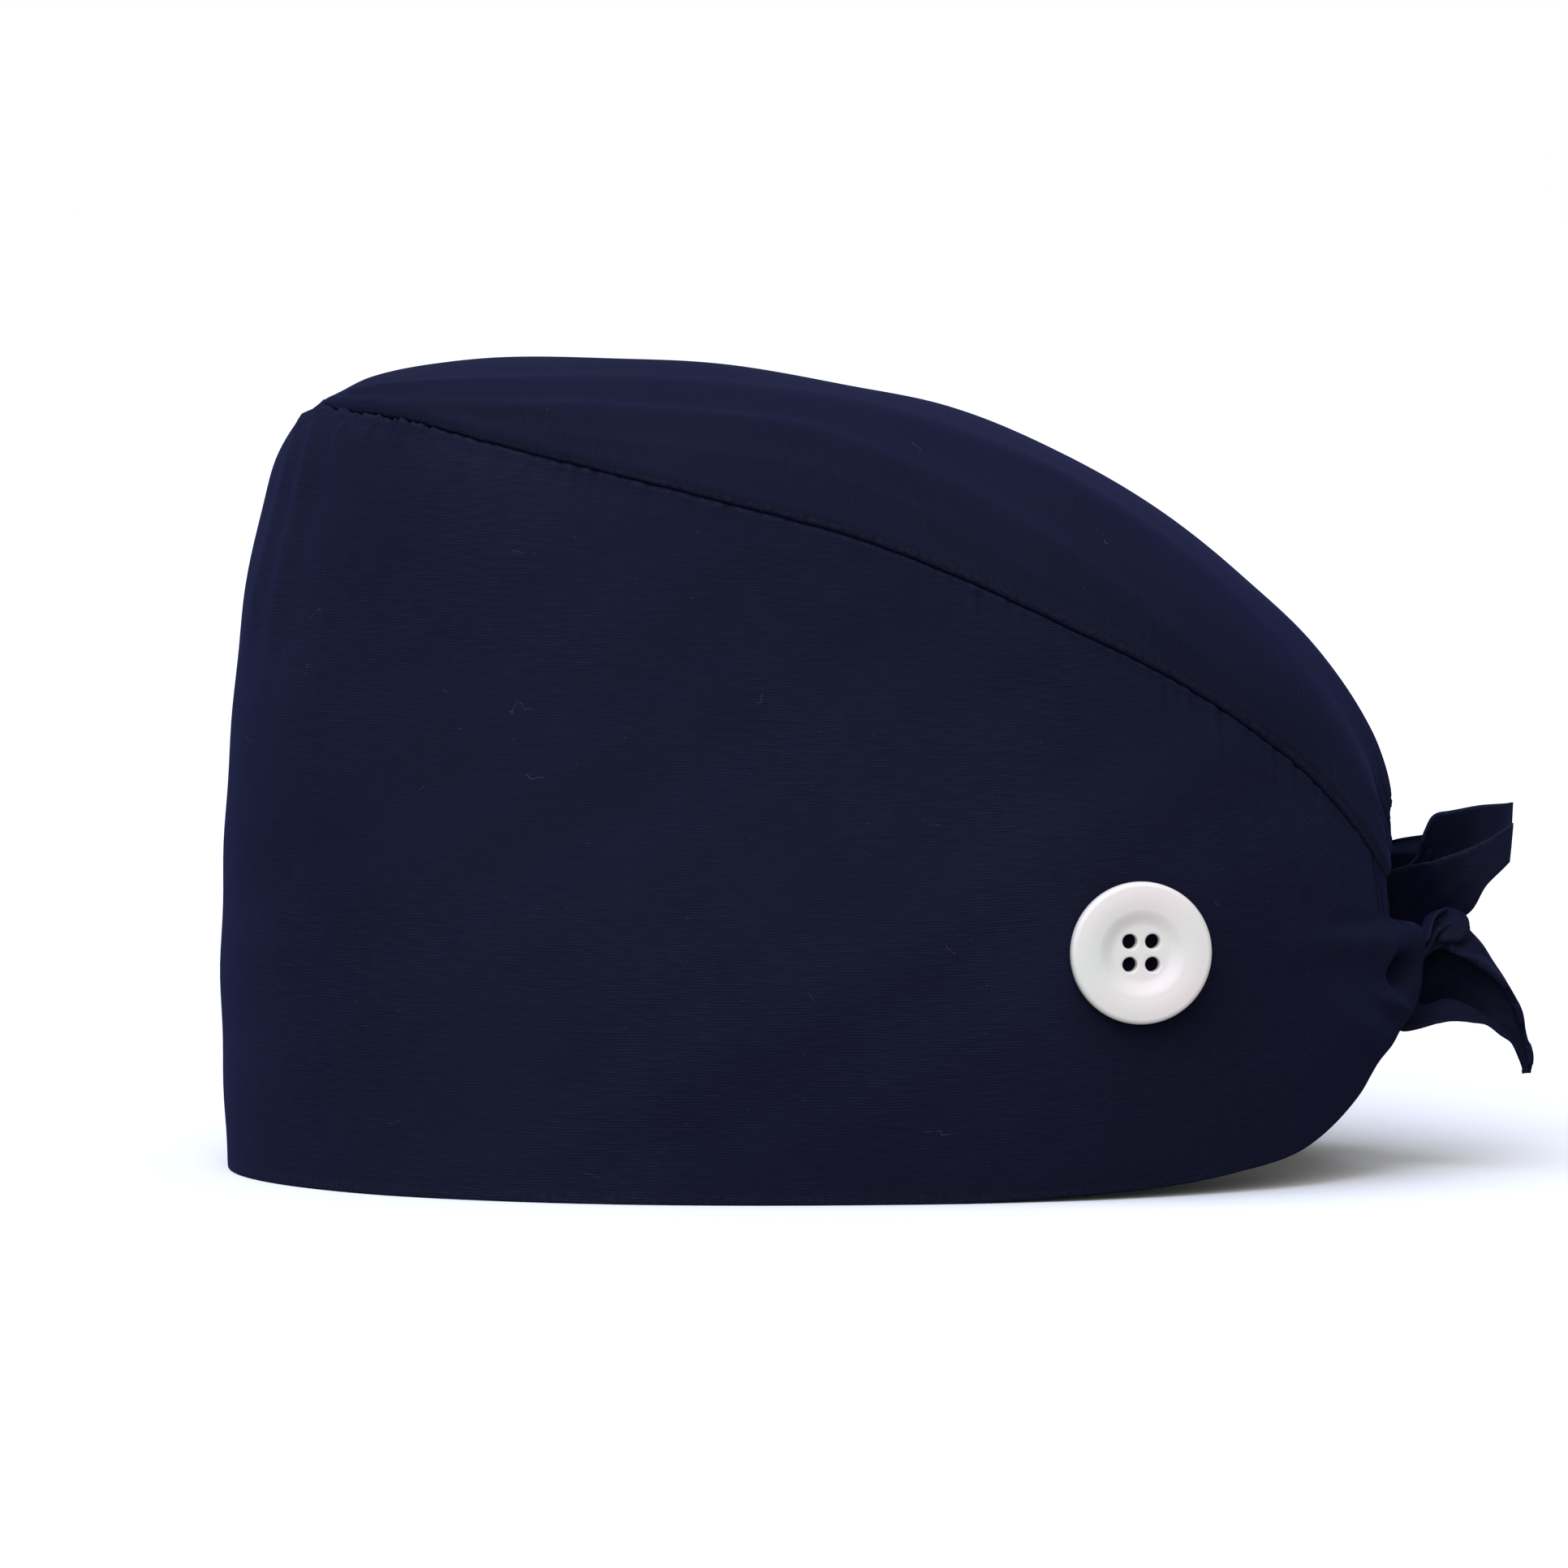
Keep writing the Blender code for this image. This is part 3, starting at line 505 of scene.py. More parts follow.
class LintSpecks(EffectGroup):
    """Loose specks and short fibres that cling to dark cloth."""

    title = "Lint specks"
    inputs = (("Cloth", "Vector", None), ("Spacing", "Float", 0.012), ("Speck Size", "Float", 0.009))
    outputs = ("Mask",)

    def make(self, graph: Graph, source: bpy.types.bpy_prop_collection) -> dict[str, bpy.types.NodeSocket]:
        """Adds round specks and bent fibres, each in some of the cells only."""
        scale = graph.maths("DIVIDE", 1.0, source["Spacing"])
        spread = graph.add("VectorMath", {0: source["Cloth"], 3: scale}, operation="SCALE").outputs[0]
        spot = graph.cells(spread)
        chosen = graph.span(graph.part(spot["Color"], 0), 0.70, 0.78)
        near = graph.maths("LESS_THAN", spot["Distance"], source["Speck Size"])
        bend = graph.noise(spread, 3.0, 1.0)["Color"]
        bent = graph.add("VectorMath", {0: spread, 1: bend}, operation="ADD").outputs[0]
        stretch = {"Vector": bent, "Rotation": (0.0, 0.0, 0.7), "Scale": (0.35, 2.6, 1.0)}
        hair = graph.cells(graph.add("Mapping", stretch).outputs[0])
        rare = graph.span(graph.part(hair["Color"], 1), 0.90, 0.93)
        fibre = graph.maths("MULTIPLY", graph.maths("LESS_THAN", hair["Distance"], 0.035), rare)
        speck = graph.maths("MULTIPLY", near, chosen)
        return {"Mask": graph.maths("MAXIMUM", speck, graph.maths("MULTIPLY", fibre, 0.5))}


class HandlingWear(EffectGroup):
    """Broad uneven fading, and the paler threads where cloth folds over an edge."""

    title = "Handling wear"
    inputs = (("Cloth", "Vector", None), ("Edge", "Float", 0.0), ("Patch Size", "Float", 0.05))
    outputs = ("Fade", "Rub")

    def make(self, graph: Graph, source: bpy.types.bpy_prop_collection) -> dict[str, bpy.types.NodeSocket]:
        """Adds the patches, and breaks up the rubbed edges."""
        scale = graph.maths("DIVIDE", 1.0, source["Patch Size"])
        patch = graph.noise(source["Cloth"], scale, 3.0, 0.55)[0]
        grit = graph.noise(source["Cloth"], 900.0, 2.0)[0]
        rub = graph.maths("MULTIPLY", source["Edge"], graph.span(grit, 0.35, 0.75))
        return {"Fade": graph.span(patch, 0.3, 0.7), "Rub": rub}


class ResinClouds(EffectGroup):
    """Faint clouds of warmer and cooler white in moulded resin."""

    title = "Resin clouds"
    inputs = (("Place", "Vector", None), ("Cloud Size", "Float", 0.014))
    outputs = ("Warmth", "Haze")

    def make(self, graph: Graph, source: bpy.types.bpy_prop_collection) -> dict[str, bpy.types.NodeSocket]:
        """Adds the clouds and a fine haze of handling marks."""
        scale = graph.maths("DIVIDE", 1.0, source["Cloud Size"])
        cloud = graph.noise(source["Place"], scale, 1.0)[0]
        marks = graph.noise(source["Place"], 700.0, 3.0)[0]
        return {"Warmth": graph.span(cloud, 0.35, 0.65), "Haze": graph.span(marks, 0.3, 0.7)}


@dataclass(frozen=True)
class Finish:
    """What every finish has: a name and the slot that it stands for."""

    name: str
    slot: Slot

    def start(self) -> tuple[bpy.types.Material, Graph, bpy.types.Node]:
        """Makes an empty material.

        Returns:
            The material, its graph and its Principled shader.
        """
        material = bpy.data.materials.new(self.name)
        graph = fresh_graph(material)
        shader = graph.add("BsdfPrincipled")
        graph.add("OutputMaterial", {"Surface": shader.outputs[0]})
        return material, graph, shader

    def make(self) -> bpy.types.Material:
        """Makes the material."""
        raise NotImplementedError

    def material(self) -> bpy.types.Material:
        """Gives the finish's one material."""
        return bpy.data.materials.get(self.name) or self.make()


@dataclass(frozen=True)
class PoplinFinish(Finish):
    """Matt navy poplin."""

    deep: Colour = (0.0066, 0.0073, 0.0164)
    pale: Colour = (0.0107, 0.0117, 0.0258)
    lint: Colour = (0.08, 0.08, 0.11)
    rib_pitch: float = 0.00056
    slub_length: float = 0.0050
    streaks: float = 0.55
    fading: float = 0.40
    rubbing: float = 0.09
    speckle: float = 0.40
    relief: float = 0.00007
    roughness: tuple[float, float] = (0.80, 0.92)
    specular: float = 0.02
    sheen: float = 0.040
    glint: Colour = (0.16, 0.22, 1.00)

    def make(self) -> bpy.types.Material:
        """Makes the material from the weave, the lint and the wear."""
        material, graph, shader = self.start()
        cloth = graph.add("Attribute", attribute_name=ClothSheet.PLACE).outputs["Vector"]
        edge = graph.add("Attribute", attribute_name=ClothSheet.EDGE).outputs["Fac"]
        ribs = {"Rib_Pitch": self.rib_pitch, "Slub_Length": self.slub_length}
        weave = RibbedWeave().place(graph, Cloth=cloth, **ribs)
        wear = HandlingWear().place(graph, Cloth=cloth, Edge=edge)
        lint = LintSpecks().place(graph, Cloth=cloth)
        faded = graph.maths("MULTIPLY", wear["Fade"], self.fading)
        tone = graph.maths("MULTIPLY_ADD", weave["Slub"], self.streaks, faded)
        colour = graph.mix(tone, (*self.deep, 1.0), (*self.pale, 1.0))
        for mask, share in ((wear["Rub"], self.rubbing), (lint["Mask"], self.speckle)):
            colour = graph.mix(graph.maths("MULTIPLY", mask, share), colour, (*self.lint, 1.0))
        bump = graph.add("Bump", {"Height": weave["Height"], "Distance": self.relief, "Strength": 1.0})
        graph.feed(shader, {
            "Base Color": colour,
            "Roughness": graph.span(weave["Slub"], 0.0, 1.0, *self.roughness),
            "Normal": bump.outputs[0],
            "Specular IOR Level": self.specular,
            "Specular Tint": (*self.glint, 1.0),
            "Sheen Weight": self.sheen,
            "Sheen Roughness": 0.5,
            "Sheen Tint": (*self.glint, 1.0),
        })
        return material


@dataclass(frozen=True)
class ResinFinish(Finish):
    """Smooth off-white resin."""

    cool: Colour = (0.650, 0.648, 0.590)
    warm: Colour = (0.700, 0.640, 0.604)
    roughness: tuple[float, float] = (0.50, 0.62)

    def make(self) -> bpy.types.Material:
        """Makes the material from its clouds."""
        material, graph, shader = self.start()
        place = graph.add("TexCoord").outputs["Object"]
        clouds = ResinClouds().place(graph, Place=place)
        bump = graph.add("Bump", {"Height": clouds["Haze"], "Distance": 0.00001, "Strength": 0.6})
        graph.feed(shader, {
            "Base Color": graph.mix(clouds["Warmth"], (*self.cool, 1.0), (*self.warm, 1.0)),
            "Roughness": graph.span(clouds["Haze"], 0.0, 1.0, *self.roughness),
            "Normal": bump.outputs[0],
            "Subsurface Weight": 0.08,
            "Subsurface Radius": (0.0012, 0.0010, 0.0009),
            "Specular IOR Level": 0.35,
            "Coat Weight": 0.04,
            "Coat Roughness": 0.15,
        })
        return material


@dataclass(frozen=True)
class ThreadFinish(Finish):
    """Navy sewing thread, twisted."""

    deep: Colour = (0.0060, 0.0064, 0.0200)
    pale: Colour = (0.0150, 0.0165, 0.0420)
    twist_scale: float = 260.0

    def make(self) -> bpy.types.Material:
        """Makes the material from the thread's twist."""
        material, graph, shader = self.start()
        place = graph.add("TexCoord").outputs["Object"]
        turned = graph.add("Mapping", {"Vector": place, "Rotation": (0.5, 0.4, 0.3)}).outputs[0]
        waves = {"Vector": turned, "Scale": self.twist_scale, "Distortion": 1.5}
        twist = graph.add("TexWave", waves).outputs["Fac"]
        bump = graph.add("Bump", {"Height": twist, "Distance": 0.00005, "Strength": 0.8})
        graph.feed(shader, {
            "Base Color": graph.mix(twist, (*self.deep, 1.0), (*self.pale, 1.0)),
            "Normal": bump.outputs[0],
            "Roughness": 0.6,
            "Specular IOR Level": 0.3,
        })
        return material


CAP_POPLIN = PoplinFinish("Navy cap poplin", Slot.CAP)
CROWN_POPLIN = PoplinFinish("Navy crown poplin", Slot.CAP, streaks=0.25, relief=0.00004)
TIE_POPLIN = PoplinFinish("Navy tie poplin", Slot.TIE, slub_length=0.004, relief=0.00005)
WHITE_RESIN = ResinFinish("Off-white resin", Slot.RESIN)
NAVY_THREAD = ThreadFinish("Navy thread", Slot.THREAD)


def seat(piece: bpy.types.Object, finish: Finish, *nodes: str) -> None:
    """Dresses a piece, lets it ride on the cap's body and puts it in its solids' place."""
    piece.data.materials.append(finish.material())
    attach(piece, BODY)
    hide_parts(*nodes)
    LOG.info("%s: %d faces for %s", piece.name, len(piece.data.polygons), ", ".join(nodes))


def show(name: str, mesh: bpy.types.Mesh) -> bpy.types.Object:
    """Makes an object from a mesh and adds it to the scene."""
    piece = bpy.data.objects.new(name, mesh)
    bpy.context.scene.collection.objects.link(piece)
    return piece


def keep_threads(mesh: bpy.types.Mesh, threads: np.ndarray, edges: np.ndarray) -> None:
    """Keeps the threads' places and the rubbed edges on a mesh, for the cloth's finish.

    Args:
        mesh: The mesh.
        threads: Each point's distances along and across the cloth's threads.
        edges: Each point's share of rubbing.
    """
    place = np.zeros((len(mesh.vertices), 3), np.float32)
    place[:, :2] = threads.reshape(-1, 2)
    mesh.attributes.new(ClothSheet.PLACE, "FLOAT_VECTOR", "POINT").data.foreach_set("vector", place.ravel())
    rubbed = np.asarray(edges, np.float32).ravel()
    mesh.attributes.new(ClothSheet.EDGE, "FLOAT", "POINT").data.foreach_set("value", rubbed)


@dataclass(frozen=True)
class ClothSheet:
    """A sheet of cloth made from a grid of points, with its threads' places and its rubbed edges."""

    PLACE = "cloth_place"
    EDGE = "rubbed_edge"

    name: str
    grid: np.ndarray
    threads: np.ndarray
    edges: np.ndarray
    thickness: float
    offset: float = -1.0

    def make(self) -> bpy.types.Object:
        """Makes the sheet, whose cloth lies behind the grid with an offset of -1 and before it with 1."""
        rows, columns = self.grid.shape[:2]
        index = np.arange(rows * columns).reshape(rows, columns)
        corners = [index[:-1, :-1], index[1:, :-1], index[1:, 1:], index[:-1, 1:]]
        faces = np.stack(corners, axis=2).reshape(-1, 4)
        mesh = bpy.data.meshes.new(self.name)
        mesh.from_pydata(FORM.place(self.grid.reshape(-1, 3)).tolist(), [], faces.tolist())
        keep_threads(mesh, self.threads, self.edges)
        self.drop_flat_faces(mesh)
        mesh.shade_smooth()
        sheet = show(self.name, mesh)
        wall = sheet.modifiers.new("cloth", "SOLIDIFY")
        wall.thickness = self.thickness
        wall.offset = self.offset
        return sheet

    @staticmethod
    def drop_flat_faces(mesh: bpy.types.Mesh, reach: float = 1e-6) -> None:
        """Welds points that meet, such as those at the crown's front tip."""
        work = bmesh.new()
        work.from_mesh(mesh)
        bmesh.ops.remove_doubles(work, verts=work.verts, dist=reach)
        work.to_mesh(mesh)
        work.free()


@dataclass(frozen=True)
class SideBand:
    """The one wide panel from the rim to the seam, with its hem, its seam edge and its gathered ends."""

    cloth: float = 0.00045
    column_step: float = 0.0013
    end_step: float = 0.00055
    end_reach: float = 0.026
    hem: float = 0.011
    hem_turn: float = 0.0005
    hem_rubbing: float = 0.6
    seam_turn: float = 0.0010
    allowance: float = 0.0070
    allowance_gap: float = 0.0012
    lip: float = 0.0030
    lip_steps: int = 8
    pucker_reach: float = 0.0048
    pucker_rest: float = 0.00012
    dip_place: float = 0.0022
    dip_width: float = 0.0024
    slow_heights: tuple[float, float] = (0.00022, 0.00016)
    seam_dip: float = 0.00025
    seam_sink: float = 0.00050
    sink_reach: float = 0.0030
    flat: tuple[float, float] = (0.585, 0.176)
    flat_area: float = 0.0900
    sunk_zones: Table = (
        # y at the seam, half width, share
        (0.068, 0.014, 1.0),
        (0.036, 0.009, 0.7),
    )
    creases: Table = (
        # y at the seam, y at the lower end, length, half width, depth
        (0.0290, 0.0280, 0.0060, 0.0012, 0.00025),
        (0.0364, 0.0350, 0.0090, 0.0013, 0.00045),
        (0.0466, 0.0460, 0.0040, 0.0012, 0.00030),
        (0.0566, 0.0562, 0.0038, 0.0016, 0.00035),
        (0.0654, 0.0648, 0.0050, 0.0013, 0.00040),
        (0.0695, 0.0692, 0.0045, 0.0011, 0.00035),
        (0.0743, 0.0736, 0.0065, 0.0012, 0.00060),
        (0.0804, 0.0800, 0.0055, 0.0012, 0.00055),
        (0.0880, 0.0884, 0.0035, 0.0013, 0.00025),
        (0.1030, 0.1030, 0.0045, 0.0013, 0.00025),
    )
    puckers: Table = (
        # y from the front, half width, depth
        (0.034, 0.012, 0.00045),
        (0.047, 0.008, 0.00050),
        (0.079, 0.008, 0.00085),
        (0.101, 0.006, 0.00040),
        (0.150, 0.014, 0.00018),
        (0.205, 0.014, 0.00040),
    )
    corner_folds: Table = (
        # y at the seam, y at the lower end, level of the lower end, half width, depth
        (0.0215, 0.0125, 0.112, 0.0013, 0.00095),
        (0.0245, 0.0180, 0.122, 0.0012, -0.00060),
        (0.0180, 0.0060, 0.106, 0.0012, 0.00070),
        (0.0262, 0.0225, 0.118, 0.0020, 0.00035),
    )

    def columns(self) -> np.ndarray:
        """Gives the columns' places along the band, closest in the gathered ends."""
        turn = FORM.length - self.end_reach
        side = np.linspace(0, turn, round(turn / self.column_step) + 1)
        end = np.linspace(turn, FORM.length, round(self.end_reach / self.end_step) + 1)[1:]
        half = np.concatenate([side, end])
        return np.concatenate([-half[:0:-1], half])

    def heights(self) -> np.ndarray:
        """Gives the rows' heights, closest at the rim and at the seam."""
        low = np.linspace(0.0, 0.03, 4)
        middle = np.linspace(0.03, 0.88, 44)[1:]
        top = 1 - 0.12 * (1 - np.linspace(0, 1, 19)[1:]) ** 1.5
        return np.concatenate([low, middle, top])

    def pucker(self, skin: np.ndarray, below: np.ndarray) -> np.ndarray:
        """Gives the push of the puckers under the seam."""
        along = self.columns()[:, None]
        waves = Ripple(0.0060, seed=11).at(along) + 0.3 * Ripple(0.0036, seed=12).at(along)
        strength = np.full(len(along), self.pucker_rest)
        for back, width, depth in self.puckers:
            strength += depth * np.exp(-((skin[:, -1, 1] - back) / width) ** 2)
        reach = self.pucker_reach * (1 + 0.5 * Ripple(0.013, seed=13).at(along))
        fade = np.exp(-(below / np.maximum(reach, 0.0015)) ** 1.3)
        dip = self.seam_dip * np.exp(-((below - self.dip_place) / self.dip_width) ** 2)
        dip = dip * (1 + 0.4 * Ripple(0.024, seed=14).at(along))
        back = skin[:, -1:, 1]
        sunk = sum(share * np.exp(-((back - middle) / width) ** 2)
                   for middle, width, share in self.sunk_zones)
        reached = below / self.sink_reach
        dip = dip + self.seam_sink * sunk * reached * np.exp(1 - reached)
        for start, end, length, width, depth in self.creases:
            line = start + (end - start) * below / length
            dip = dip + depth * np.exp(-((skin[..., 1] - line) / width) ** 2 - (below / length) ** 2)
        return strength[:, None] * waves * fade - dip

    def drape(self, skin: np.ndarray, below: np.ndarray) -> np.ndarray:
        """Gives the push of the soft folds at the front corner and of the cloth's slow waves."""
        first, second = self.slow_heights
        push = first * Ripple(0.050, seed=21).at(skin[..., 1] + 0.3 * skin[..., 2])
        push = push + second * Ripple(0.034, seed=22).at(skin[..., 2] - 0.6 * skin[..., 1])
        push = push * ease(below / 0.01) * ease(skin[..., 2] / 0.012)
        for start, end, level, width, depth in self.corner_folds:
            share = np.clip((FORM.band_height - skin[..., 2]) / (FORM.band_height - level), 0, 2)
            line = start + (end - start) * share
            spread = width * (0.7 + 0.9 * share)
            push = push + depth * np.exp(-((skin[..., 1] - line) / spread) ** 2) * ease(1.6 - share)
        return push

    def turned_end(self, skin: np.ndarray, side: Side) -> np.ndarray:
        """Gives the columns that roll inwards past one of the band's ends."""
        last = skin[-1] if side is Side.LEFT else skin[0]
        level = np.linspace(0, 1, skin.shape[1])
        radius = self.lip * (0.25 + 0.75 * ease(level / 0.2) * ease((0.78 - level) / 0.12))[:, None]
        inwards = np.array([-side.value, 0.0, 0.0])
        angles = np.linspace(0, math.radians(165), self.lip_steps + 1)[1:]
        return np.stack([last + radius * (math.sin(angle) * inwards - (1 - math.cos(angle)) * BACK)
                         for angle in angles])

    def build(self) -> bpy.types.Object:
        """Makes the band."""
        places, heights = self.columns(), self.heights()
        skin = FORM.band(places, heights)
        height = travelled(skin, 1)
        below = height[:, -1:] - height
        toward_seam = np.exp(-(below / 0.003) ** 2)[..., None]
        outward = FORM.seam_outward(places)[:, None]
        normals = unit(normals_of(skin) * (1 - toward_seam) + outward * toward_seam)
        normals[:, 0] = unit(normals[:, 0] * [1, 1, 0])
        push = self.pucker(skin, below) + self.drape(skin, below)
        rounded = np.clip(1 - below / self.seam_turn, 0, 1)
        tuck = self.seam_turn * (1 - np.sqrt(1 - rounded**2))
        face = skin + normals * (push - tuck)[..., None]
        inside = face - normals * self.allowance_gap
        folded = self.allowance_rows(inside, below)
        grid = np.concatenate([self.hem_rows(face, normals), face[:, 1:], folded], axis=1)
        grid[..., 2] = np.maximum(grid[..., 2], 0)
        ends = [self.turned_end(grid, Side.RIGHT)[::-1], grid, self.turned_end(grid, Side.LEFT)]
        grid = np.concatenate(ends, axis=0)
        along = travelled(grid, 0)[:, grid.shape[1] // 2]
        threads = np.stack(np.broadcast_arrays(along[:, None], travelled(grid, 1)), axis=2)
        extra = grid.shape[1] - folded.shape[1]
        edges = np.zeros(grid.shape[:2])
        edges[:, extra - 3:extra] = 1.0
        edges[:, 8:13] = self.hem_rubbing
        band = ClothSheet("side_band_cloth", grid, threads, edges, self.cloth).make()
        seat(band, CAP_POPLIN, "side_band")
        return band

    def hem_rows(self, face: np.ndarray, normals: np.ndarray) -> np.ndarray:
        """Gives the hem: rows that hang inside, turn under at the rim and come up outside."""
        rim, out = face[:, :1], normals[:, :1]
        rise = np.linspace(self.hem, self.hem_turn, 6)[None, :, None]
        tall = travelled(face, 1)
        inner = np.stack([[np.interp(rise[0, :, 0], levels, column[:, axis]) for axis in range(3)]
                          for levels, column in zip(tall, face)]).transpose(0, 2, 1)
        inner = inner - out * 2 * self.hem_turn
        centre = rim - out * self.hem_turn + UP * self.hem_turn
        angles = np.linspace(-math.pi, 0, 7)[None, 1:, None]
        under = centre + self.hem_turn * (np.cos(angles) * out + np.sin(angles) * UP)
        return np.concatenate([inner, under], axis=1)

    def allowance_rows(self, inside: np.ndarray, below: np.ndarray) -> np.ndarray:
        """Gives the seam allowance: rows that turn back down inside the band."""
        depths = np.array([0.0006, 0.0015, 0.0030, 0.0050, self.allowance])
        return np.stack([[np.interp(-depths, -levels, column[:, axis]) for axis in range(3)]
                         for levels, column in zip(below, inside)]).transpose(0, 2, 1)


@dataclass(frozen=True)
class CrownPanel:
    """The long top panel, with its soft lengthwise ridges and its gathered hem."""

    cloth: float = 0.00045
    row_step: float = 0.0014
    slices: int = 150
    seam_turn: float = 0.0009
    ridge_stray: float = 0.005
    slow_heights: tuple[float, float] = (0.00025, 0.00018)
    seam_lip: float = 0.00045
    lip_place: float = 0.0022
    lip_width: float = 0.0016
    lip_start: float = 0.03
    hem: float = 0.008
    hem_turn: float = 0.0005
    gather_reach: float = 0.024
    gather_depth: float = 0.0006
    flat: tuple[float, float] = (0.285, 0.190)
    flat_area: float = 0.0400
    ridge_shares: tuple[float, ...] = (0.18, 0.34, 0.50, 0.66, 0.84)
    ridges: Table = (
        # the ridge's turn at each of the five shares, half width, height
        (0.070, 0.155, 0.200, 0.135, 0.030, 0.034, 0.00150),
        (0.210, 0.280, 0.320, 0.320, 0.280, 0.045, 0.00110),
        (0.020, 0.075, 0.115, 0.060, 0.020, 0.018, 0.00040),
    )

    def ridge_push(self, places: np.ndarray, turns: np.ndarray) -> np.ndarray:
        """Gives the push of the soft ridges that run from the front to the back."""
        share = (places / FORM.length)[:, None]
        folded = np.minimum(turns, 1 - turns)[None, :]
        fade = ease(share / 0.12) * ease((0.88 - share) / 0.2)
        push = np.zeros((len(places), len(turns)))
        stray = self.ridge_stray * Ripple(0.12, seed=31).at(places)[:, None]
        for *turned, width, height in self.ridges:
            line = np.interp(share, self.ridge_shares, turned) + stray
            push += height * np.exp(-((folded - line) / width) ** 2) * fade
        return push

    def slow_waves(self, skin: np.ndarray) -> np.ndarray:
        """Gives the push of the cloth's slow unevenness."""
        first, second = self.slow_heights
        push = first * Ripple(0.055, seed=41).at(skin[..., 1] + 0.5 * skin[..., 0])
        return push + second * Ripple(0.040, seed=42).at(skin[..., 0] - 0.4 * skin[..., 1])

    def gathers(self, places: np.ndarray, across: np.ndarray) -> np.ndarray:
        """Gives the push of the small gathers at the hem."""
        reach = np.clip(1 - (FORM.length - places) / self.gather_reach, 0, 1)[:, None] ** 1.4
        waves = Ripple(0.0062, seed=51).at(across) + 0.35 * Ripple(0.0031, seed=52).at(across)
        return self.gather_depth * (waves - 1.3) * reach

    def build(self) -> bpy.types.Object:
        """Makes the crown."""
        places = np.linspace(0, FORM.length, round(FORM.length / self.row_step) + 1)
        angle = np.linspace(0, 1, self.slices + 1)
        turns = (1 - np.cos(math.pi * angle)) / 2 * 0.45 + angle * 0.55
        skin = FORM.crown(places, turns)
        across = travelled(skin, 1)
        above = np.minimum(across, across[:, -1:] - across)
        normals = normals_of(skin)
        sides = np.stack([FORM.seam_outward(places), FORM.seam_outward(-places)], axis=1)
        half = len(turns) // 2
        outward = np.repeat(sides, [half + 1, half], axis=1)
        near_seam = np.exp(-(above / 0.003) ** 2)[..., None]
        normals = unit(normals * (1 - near_seam) + outward * near_seam)
        free = ease(above / 0.010)
        forms = self.ridge_push(places, turns) + self.slow_waves(skin) + self.gathers(places, across)
        push = forms * free
        lip = np.exp(-((above - self.lip_place) / self.lip_width) ** 2)
        push += self.seam_lip * lip * ease(places / self.lip_start)[:, None]
        rounded = np.clip(1 - above / self.seam_turn, 0, 1)
        push -= self.seam_turn * (1 - np.sqrt(1 - rounded**2))
        face = skin + normals * push[..., None]
        grid = np.concatenate([face, self.hem_rows(face, normals)], axis=0)
        back = travelled(grid, 0)[:, half:half + 1]
        threads = np.stack(np.broadcast_arrays(travelled(grid, 1), back), axis=2)
        edges = np.zeros(grid.shape[:2])
        edges[:, :4] = edges[:, -4:] = 1.0
        edges[len(places) - 2:len(places) + 5] = 1.0
        crown = ClothSheet("crown_panel_cloth", grid, threads, edges, self.cloth).make()
        seat(crown, CROWN_POPLIN, "crown_panel")
        return crown

    def hem_rows(self, face: np.ndarray, normals: np.ndarray) -> np.ndarray:
        """Gives the hem: rows that turn under at the back edge and run forward inside."""
        last, out = face[-1:], normals[-1:]
        run = unit(face[-1:] - face[-3:-2])
        angles = np.linspace(0, math.pi, 7)[1:, None, None]
        under = last + self.hem_turn * (np.sin(angles) * run - (1 - np.cos(angles)) * out)
        steps = round(self.hem / self.row_step)
        inner = face[-2:-2 - steps:-1] - normals[-2:-2 - steps:-1] * 2 * self.hem_turn
        return np.concatenate([under, inner], axis=0)


